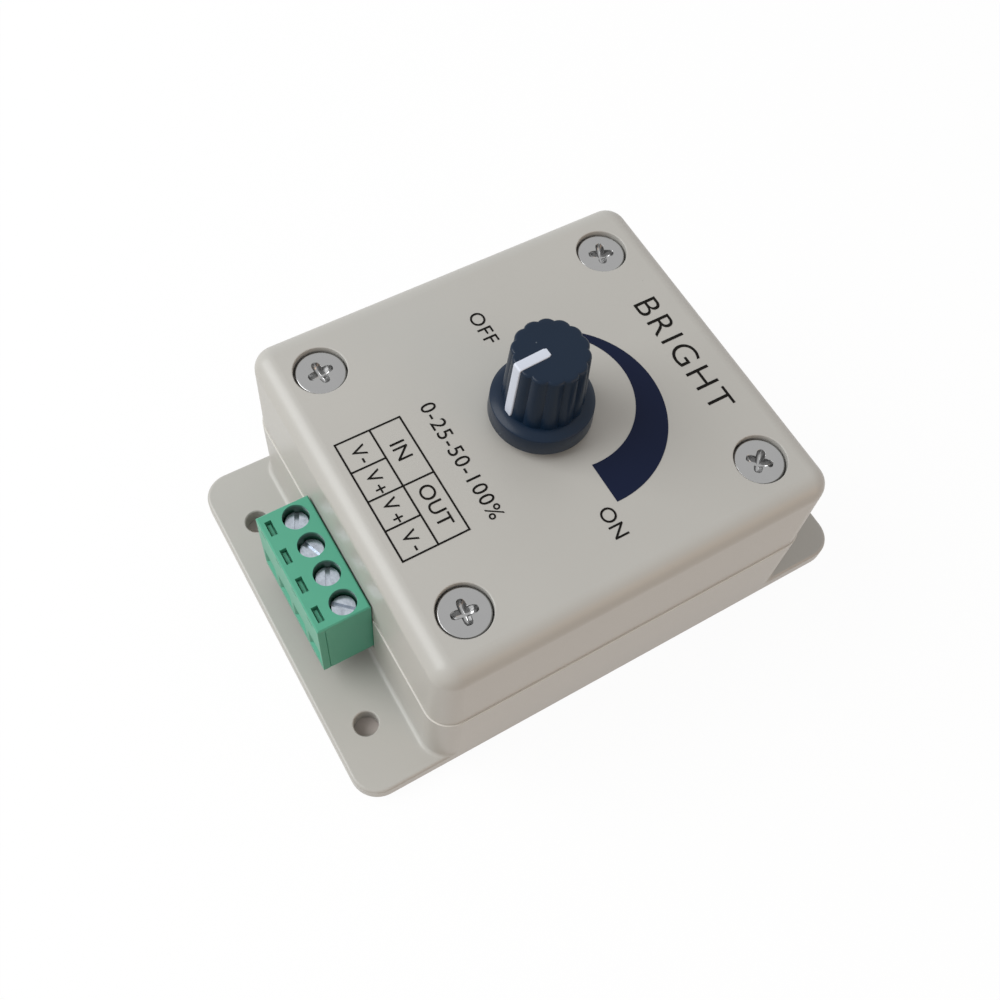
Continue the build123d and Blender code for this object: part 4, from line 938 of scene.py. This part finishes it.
def word_mesh(word, centre, cap, tracking, thinning):
    """Vertices and faces of a printed word: the font's letters given the ink's thickness, centred at a place.

    The letters are scaled alike both ways, so that the font's capitals come out at the height, and their
    outlines are drawn in by the thinning.
    """
    curve = bpy.data.curves.new("letters", "FONT")
    curve.body = word
    curve.size = cap / CAP_SHARE
    curve.space_character = tracking
    curve.offset = -thinning
    curve.extrude = (ink_height - panel_height) / 2
    curve.resolution_u = LETTER_STEPS
    carrier = bpy.data.objects.new("letters", curve)
    bpy.context.scene.collection.objects.link(carrier)
    bpy.context.view_layer.update()
    mesh = bpy.data.meshes.new_from_object(carrier.evaluated_get(bpy.context.evaluated_depsgraph_get()))
    bpy.data.objects.remove(carrier)
    bpy.data.curves.remove(curve)
    points = np.empty(len(mesh.vertices) * 3)
    mesh.vertices.foreach_get("co", points)
    points = points.reshape(-1, 3)
    faces = [list(polygon.vertices) for polygon in mesh.polygons]
    bpy.data.meshes.remove(mesh)
    middle = (points.min(0) + points.max(0)) / 2
    points = points - middle + np.array([centre[0], centre[1], (panel_height + ink_height) / 2])
    return points, faces


# Operators


class DIMMER_OT_finishes(bpy.types.Operator):
    """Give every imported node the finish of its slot, and the clamp screws a brighter plating"""

    bl_idname = "dimmer.finishes"
    bl_label = "Finish the packed nodes"

    def execute(self, context):
        for entry in frame["record"]["subparts"]:
            node = frame["nodes"][entry["node"]]
            node.data.materials.clear()
            clamp = entry["node"].startswith("clamp_screw")
            node.data.materials.append(finish("clamp_steel" if clamp else entry["material_slot"]))
        return {"FINISHED"}


class DIMMER_OT_knob(bpy.types.Operator):
    """Make the fluted knob and its inlaid pointer"""

    bl_idname = "dimmer.knob"
    bl_label = "Make the knob"

    def execute(self, context):
        shape = context.scene.dimmer.knob
        knob = add_piece("fluted_knob", *closed_grid(knob_grid(shape)), "dial", "knob_plastic", KNOB_CREASE)
        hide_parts("knob")
        pointer = add_piece("pointer_bar", *closed_grid(pointer_grid(shape)), "dial", "pointer_white")
        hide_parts("knob_pointer")
        return {"FINISHED"}


class DIMMER_OT_screws(bpy.types.Operator):
    """Make the four case screws with their cross recesses and threads"""

    bl_idname = "dimmer.screws"
    bl_label = "Make the case screws"

    def execute(self, context):
        shape = context.scene.dimmer.screws
        reach = screws_high.x - shape.head_radius, screws_high.y - shape.head_radius
        vertices, faces, count = [], [], 0
        for (sx, sy), turn in CROSS_TURNS.items():
            for grid in screw_grids(shape, (sx * reach[0], sy * reach[1]), math.radians(turn)):
                points, quads = closed_grid(grid, count)
                vertices.append(points)
                faces += quads
                count += len(points)
        piece = add_piece("cross_screws", np.concatenate(vertices), faces, "case", "zinc_steel", SCREW_CREASE)
        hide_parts("case_screws")
        return {"FINISHED"}


class DIMMER_OT_lettering(bpy.types.Operator):
    """Print the words and marks on the panel"""

    bl_idname = "dimmer.lettering"
    bl_label = "Print the lettering"

    def execute(self, context):
        layout = context.scene.dimmer.lettering
        title, word, mark = layout.title_cap, layout.word_cap, layout.mark_cap
        # Each word's name, letters, place on the panel in millimetres, height and letter spacing
        words = [
            ("title", "BRIGHT", (0.8, 24.3), title, layout.tracking),
            ("off", "OFF", (-16.55, 0.42), word, 1.12),
            ("on", "ON", (19.3, 0.0), word, 1.05),
            ("scale", "0-25-50-100%", (1.2, -13.3), word, 1.14),
            ("in", "IN", (-3.9, -19.85), word, 1.05),
            ("out", "OUT", (5.76, -19.8), word, 1.05),
        ]
        # Each mark's name, sign, place up the panel and places across it
        marks = [
            ("volt", "V", -25.05, (-6.45, -2.0, 2.8, 8.25)),
            ("minus", "-", -25.1, (-4.85, 10.1)),
            ("plus", "+", -25.1, (0.13, 5.1)),
        ]
        for name, sign, y, places in marks:
            words += [(f"{name}_{n}", sign, (x, y), mark, 1.0) for n, x in enumerate(places, 1)]
        for name, letters, (x, y), cap, tracking in words:
            thinning = layout.thinning if name == "title" else 0.0
            points, faces = word_mesh(letters, (x * MM, y * MM), cap, tracking, thinning)
            add_piece("print_" + name, points, faces, "case", "black_ink")
        return {"FINISHED"}


class DIMMER_OT_stage(bpy.types.Operator):
    """Set up the floor, lamps, sky and camera"""

    bl_idname = "dimmer.stage"
    bl_label = "Set the stage"

    def execute(self, context):
        setup = context.scene.dimmer.stage
        context.scene.view_settings.view_transform = "Standard"
        self.add_floor(context, setup)
        self.add_sky(context, setup)
        self.add_lamp(context, "key", KEY_PLACE, KEY_SIZE, setup.key_power, KEY_TINT)
        self.add_lamp(context, "fill", FILL_PLACE, FILL_SIZE, setup.fill_power, FILL_TINT)
        self.add_camera(context, setup)
        return {"FINISHED"}

    def seen_rays(self, tree):
        """1 on rays from the camera, from gloss and through glass, 0 on the soft light between surfaces."""
        path = add_node(tree, "ShaderNodeLightPath", (-900, 300))
        first = calc(tree, "MAXIMUM", (-700, 300))
        both = calc(tree, "MAXIMUM", (-500, 300))
        wire(
            tree,
            (path, "Is Camera Ray", first, 0),
            (path, "Is Glossy Ray", first, 1),
            (first, "Value", both, 0),
            (path, "Is Transmission Ray", both, 1),
        )
        return both

    def add_floor(self, context, setup):
        """A flat square floor: plain white light where it is seen, mixed with a surface that takes shadows.

        The surface is white where it is seen and warmer where it only sends light on. Under the box, within
        the flange's outline, it is a darker surface alone, painted shade on the real shadow down the mounting
        holes.
        """
        side = np.array([-FLOOR_HALF, FLOOR_HALF])
        x, y = np.meshgrid(side, side)
        points = np.stack([x.ravel(), y.ravel(), np.full(4, -FLOOR_DROP)], -1)
        mesh = bpy.data.meshes.new("floor")
        mesh.from_pydata(points.tolist(), [], [[0, 1, 3, 2]])
        floor = bpy.data.objects.new("floor", mesh)
        context.scene.collection.objects.link(floor)
        material = bpy.data.materials.new("floor_white")
        material.use_nodes = True
        tree = material.node_tree
        tree.nodes.clear()
        seen = self.seen_rays(tree)
        around = add_node(
            tree, "ShaderNodeMix", (-700, -100), {"A": BOUNCE_TONE, "B": SEEN_TONE}, data_type="RGBA"
        )
        # Under the box the floor takes the painted shade's colour alone
        tone = add_node(tree, "ShaderNodeMix", (-500, -100), {"A": UNDER_PAINTED_SHADE}, data_type="RGBA")
        pale = add_node(tree, "ShaderNodeBsdfDiffuse", (-300, -100))
        glow = add_node(tree, "ShaderNodeEmission", (-300, -250), {"Color": WHITE, "Strength": 1.0})
        share = calc(tree, "MULTIPLY", (-300, 200), {1: setup.floor_glow})
        open_share = calc(tree, "MULTIPLY", (-150, 300))
        where = add_node(tree, "ShaderNodeTexCoord", (-1100, 600))
        split = add_node(tree, "ShaderNodeSeparateXYZ", (-900, 600))
        beside = calc(tree, "MAXIMUM", (-300, 500))
        for entry, axis in enumerate("XY"):
            inner = {1: cad_box[1][entry] - FOOTPRINT_INSET}
            far = calc(tree, "ABSOLUTE", (-700, 600))
            over = calc(tree, "GREATER_THAN", (-500, 600), inner)
            wire(tree, (split, axis, far, 0), (far, "Value", over, 0), (over, "Value", beside, entry))
        mix = add_node(tree, "ShaderNodeMixShader", (0, 0))
        out = add_node(tree, "ShaderNodeOutputMaterial", (200, 0))
        wire(
            tree,
            (where, "Object", split, "Vector"),
            (seen, "Value", share, 0),
            (seen, "Value", around, "Factor"),
            (around, "Result", tone, "B"),
            (share, "Value", open_share, 0),
            (beside, "Value", open_share, 1),
            (beside, "Value", tone, "Factor"),
            (tone, "Result", pale, "Color"),
            (open_share, "Value", mix, 0),
            (pale, "BSDF", mix, 1),
            (glow, "Emission", mix, 2),
            (mix, "Shader", out, "Surface"),
        )
        mesh.materials.append(material)

    def add_sky(self, context, setup):
        """White where it is seen, and a softer even light on surfaces."""
        world = bpy.data.worlds.new("sky")
        context.scene.world = world
        world.use_nodes = True
        tree = world.node_tree
        tree.nodes.clear()
        soft = add_node(tree, "ShaderNodeBackground", (-200, 0), {"Color": WHITE, "Strength": setup.sky})
        white = add_node(tree, "ShaderNodeBackground", (-200, -150), {"Color": WHITE, "Strength": 1.0})
        mix = add_node(tree, "ShaderNodeMixShader", (50, 0))
        out = add_node(tree, "ShaderNodeOutputWorld", (250, 0))
        wire(
            tree,
            (self.seen_rays(tree), "Value", mix, 0),
            (soft, "Background", mix, 1),
            (white, "Background", mix, 2),
            (mix, "Shader", out, "Surface"),
        )

    def add_lamp(self, context, name, place, size, power, colour):
        """A square soft lamp that points at the middle of the panel."""
        lamp = bpy.data.lights.new(name, "AREA")
        lamp.size = size
        lamp.energy = power
        lamp.color = colour
        holder = bpy.data.objects.new(name, lamp)
        context.scene.collection.objects.link(holder)
        holder.location = place
        aim = Vector((0.0, 0.0, panel_height)) - Vector(place)
        holder.rotation_euler = aim.to_track_quat("-Z", "Y").to_euler()

    def add_camera(self, context, setup):
        """The camera at its place, turned by azimuth, elevation and roll."""
        a, e, r = setup.azimuth, setup.elevation, setup.roll
        level = Vector((math.cos(a), math.sin(a), 0.0))
        back = Vector((math.sin(a) * math.cos(e), -math.cos(a) * math.cos(e), math.sin(e)))
        above = back.cross(level)
        right = math.cos(r) * level + math.sin(r) * above
        up = -math.sin(r) * level + math.cos(r) * above
        camera = bpy.data.cameras.new("camera")
        camera.lens = setup.lens
        camera.sensor_width = SENSOR_WIDTH
        camera.clip_start = NEAR_CLIP
        holder = bpy.data.objects.new("camera", camera)
        context.scene.collection.objects.link(holder)
        turn = Matrix((right, up, back)).transposed().to_4x4()
        holder.matrix_world = Matrix.Translation(setup.place) @ turn
        context.scene.camera = holder


class DIMMER_PT_sidebar(bpy.types.Panel):
    """Lists the dimmer's steps and sizes"""

    bl_idname = "DIMMER_PT_sidebar"
    bl_label = "Dimmer"
    bl_space_type = "VIEW_3D"
    bl_region_type = "UI"
    bl_category = "Dimmer"

    def draw(self, context):
        for step in STEPS:
            self.layout.operator(step.bl_idname)
        settings = context.scene.dimmer
        for group in (settings.knob, settings.screws, settings.lettering, settings.colours, settings.stage):
            box = self.layout.box()
            for key in group.bl_rna.properties.keys():
                if key not in ("rna_type", "name"):
                    box.prop(group, key)


STEPS = (DIMMER_OT_finishes, DIMMER_OT_knob, DIMMER_OT_screws, DIMMER_OT_lettering, DIMMER_OT_stage)
GROUPS = (KnobShape, ScrewShape, PrintLayout, Colours, StageSetup, DimmerSettings)


def register():
    """Register the settings, the steps and the sidebar."""
    for kind in (*GROUPS, *STEPS, DIMMER_PT_sidebar):
        bpy.utils.register_class(kind)
    bpy.types.Scene.dimmer = bpy.props.PointerProperty(type=DimmerSettings)


def unregister():
    """Take the settings, the steps and the sidebar away."""
    del bpy.types.Scene.dimmer
    for kind in reversed((*GROUPS, *STEPS, DIMMER_PT_sidebar)):
        bpy.utils.unregister_class(kind)


def main():
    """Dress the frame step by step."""
    register()
    bpy.ops.dimmer.finishes()
    bpy.ops.dimmer.knob()
    bpy.ops.dimmer.screws()
    bpy.ops.dimmer.lettering()
    bpy.ops.dimmer.stage()


if __name__ == "__main__":
    main()
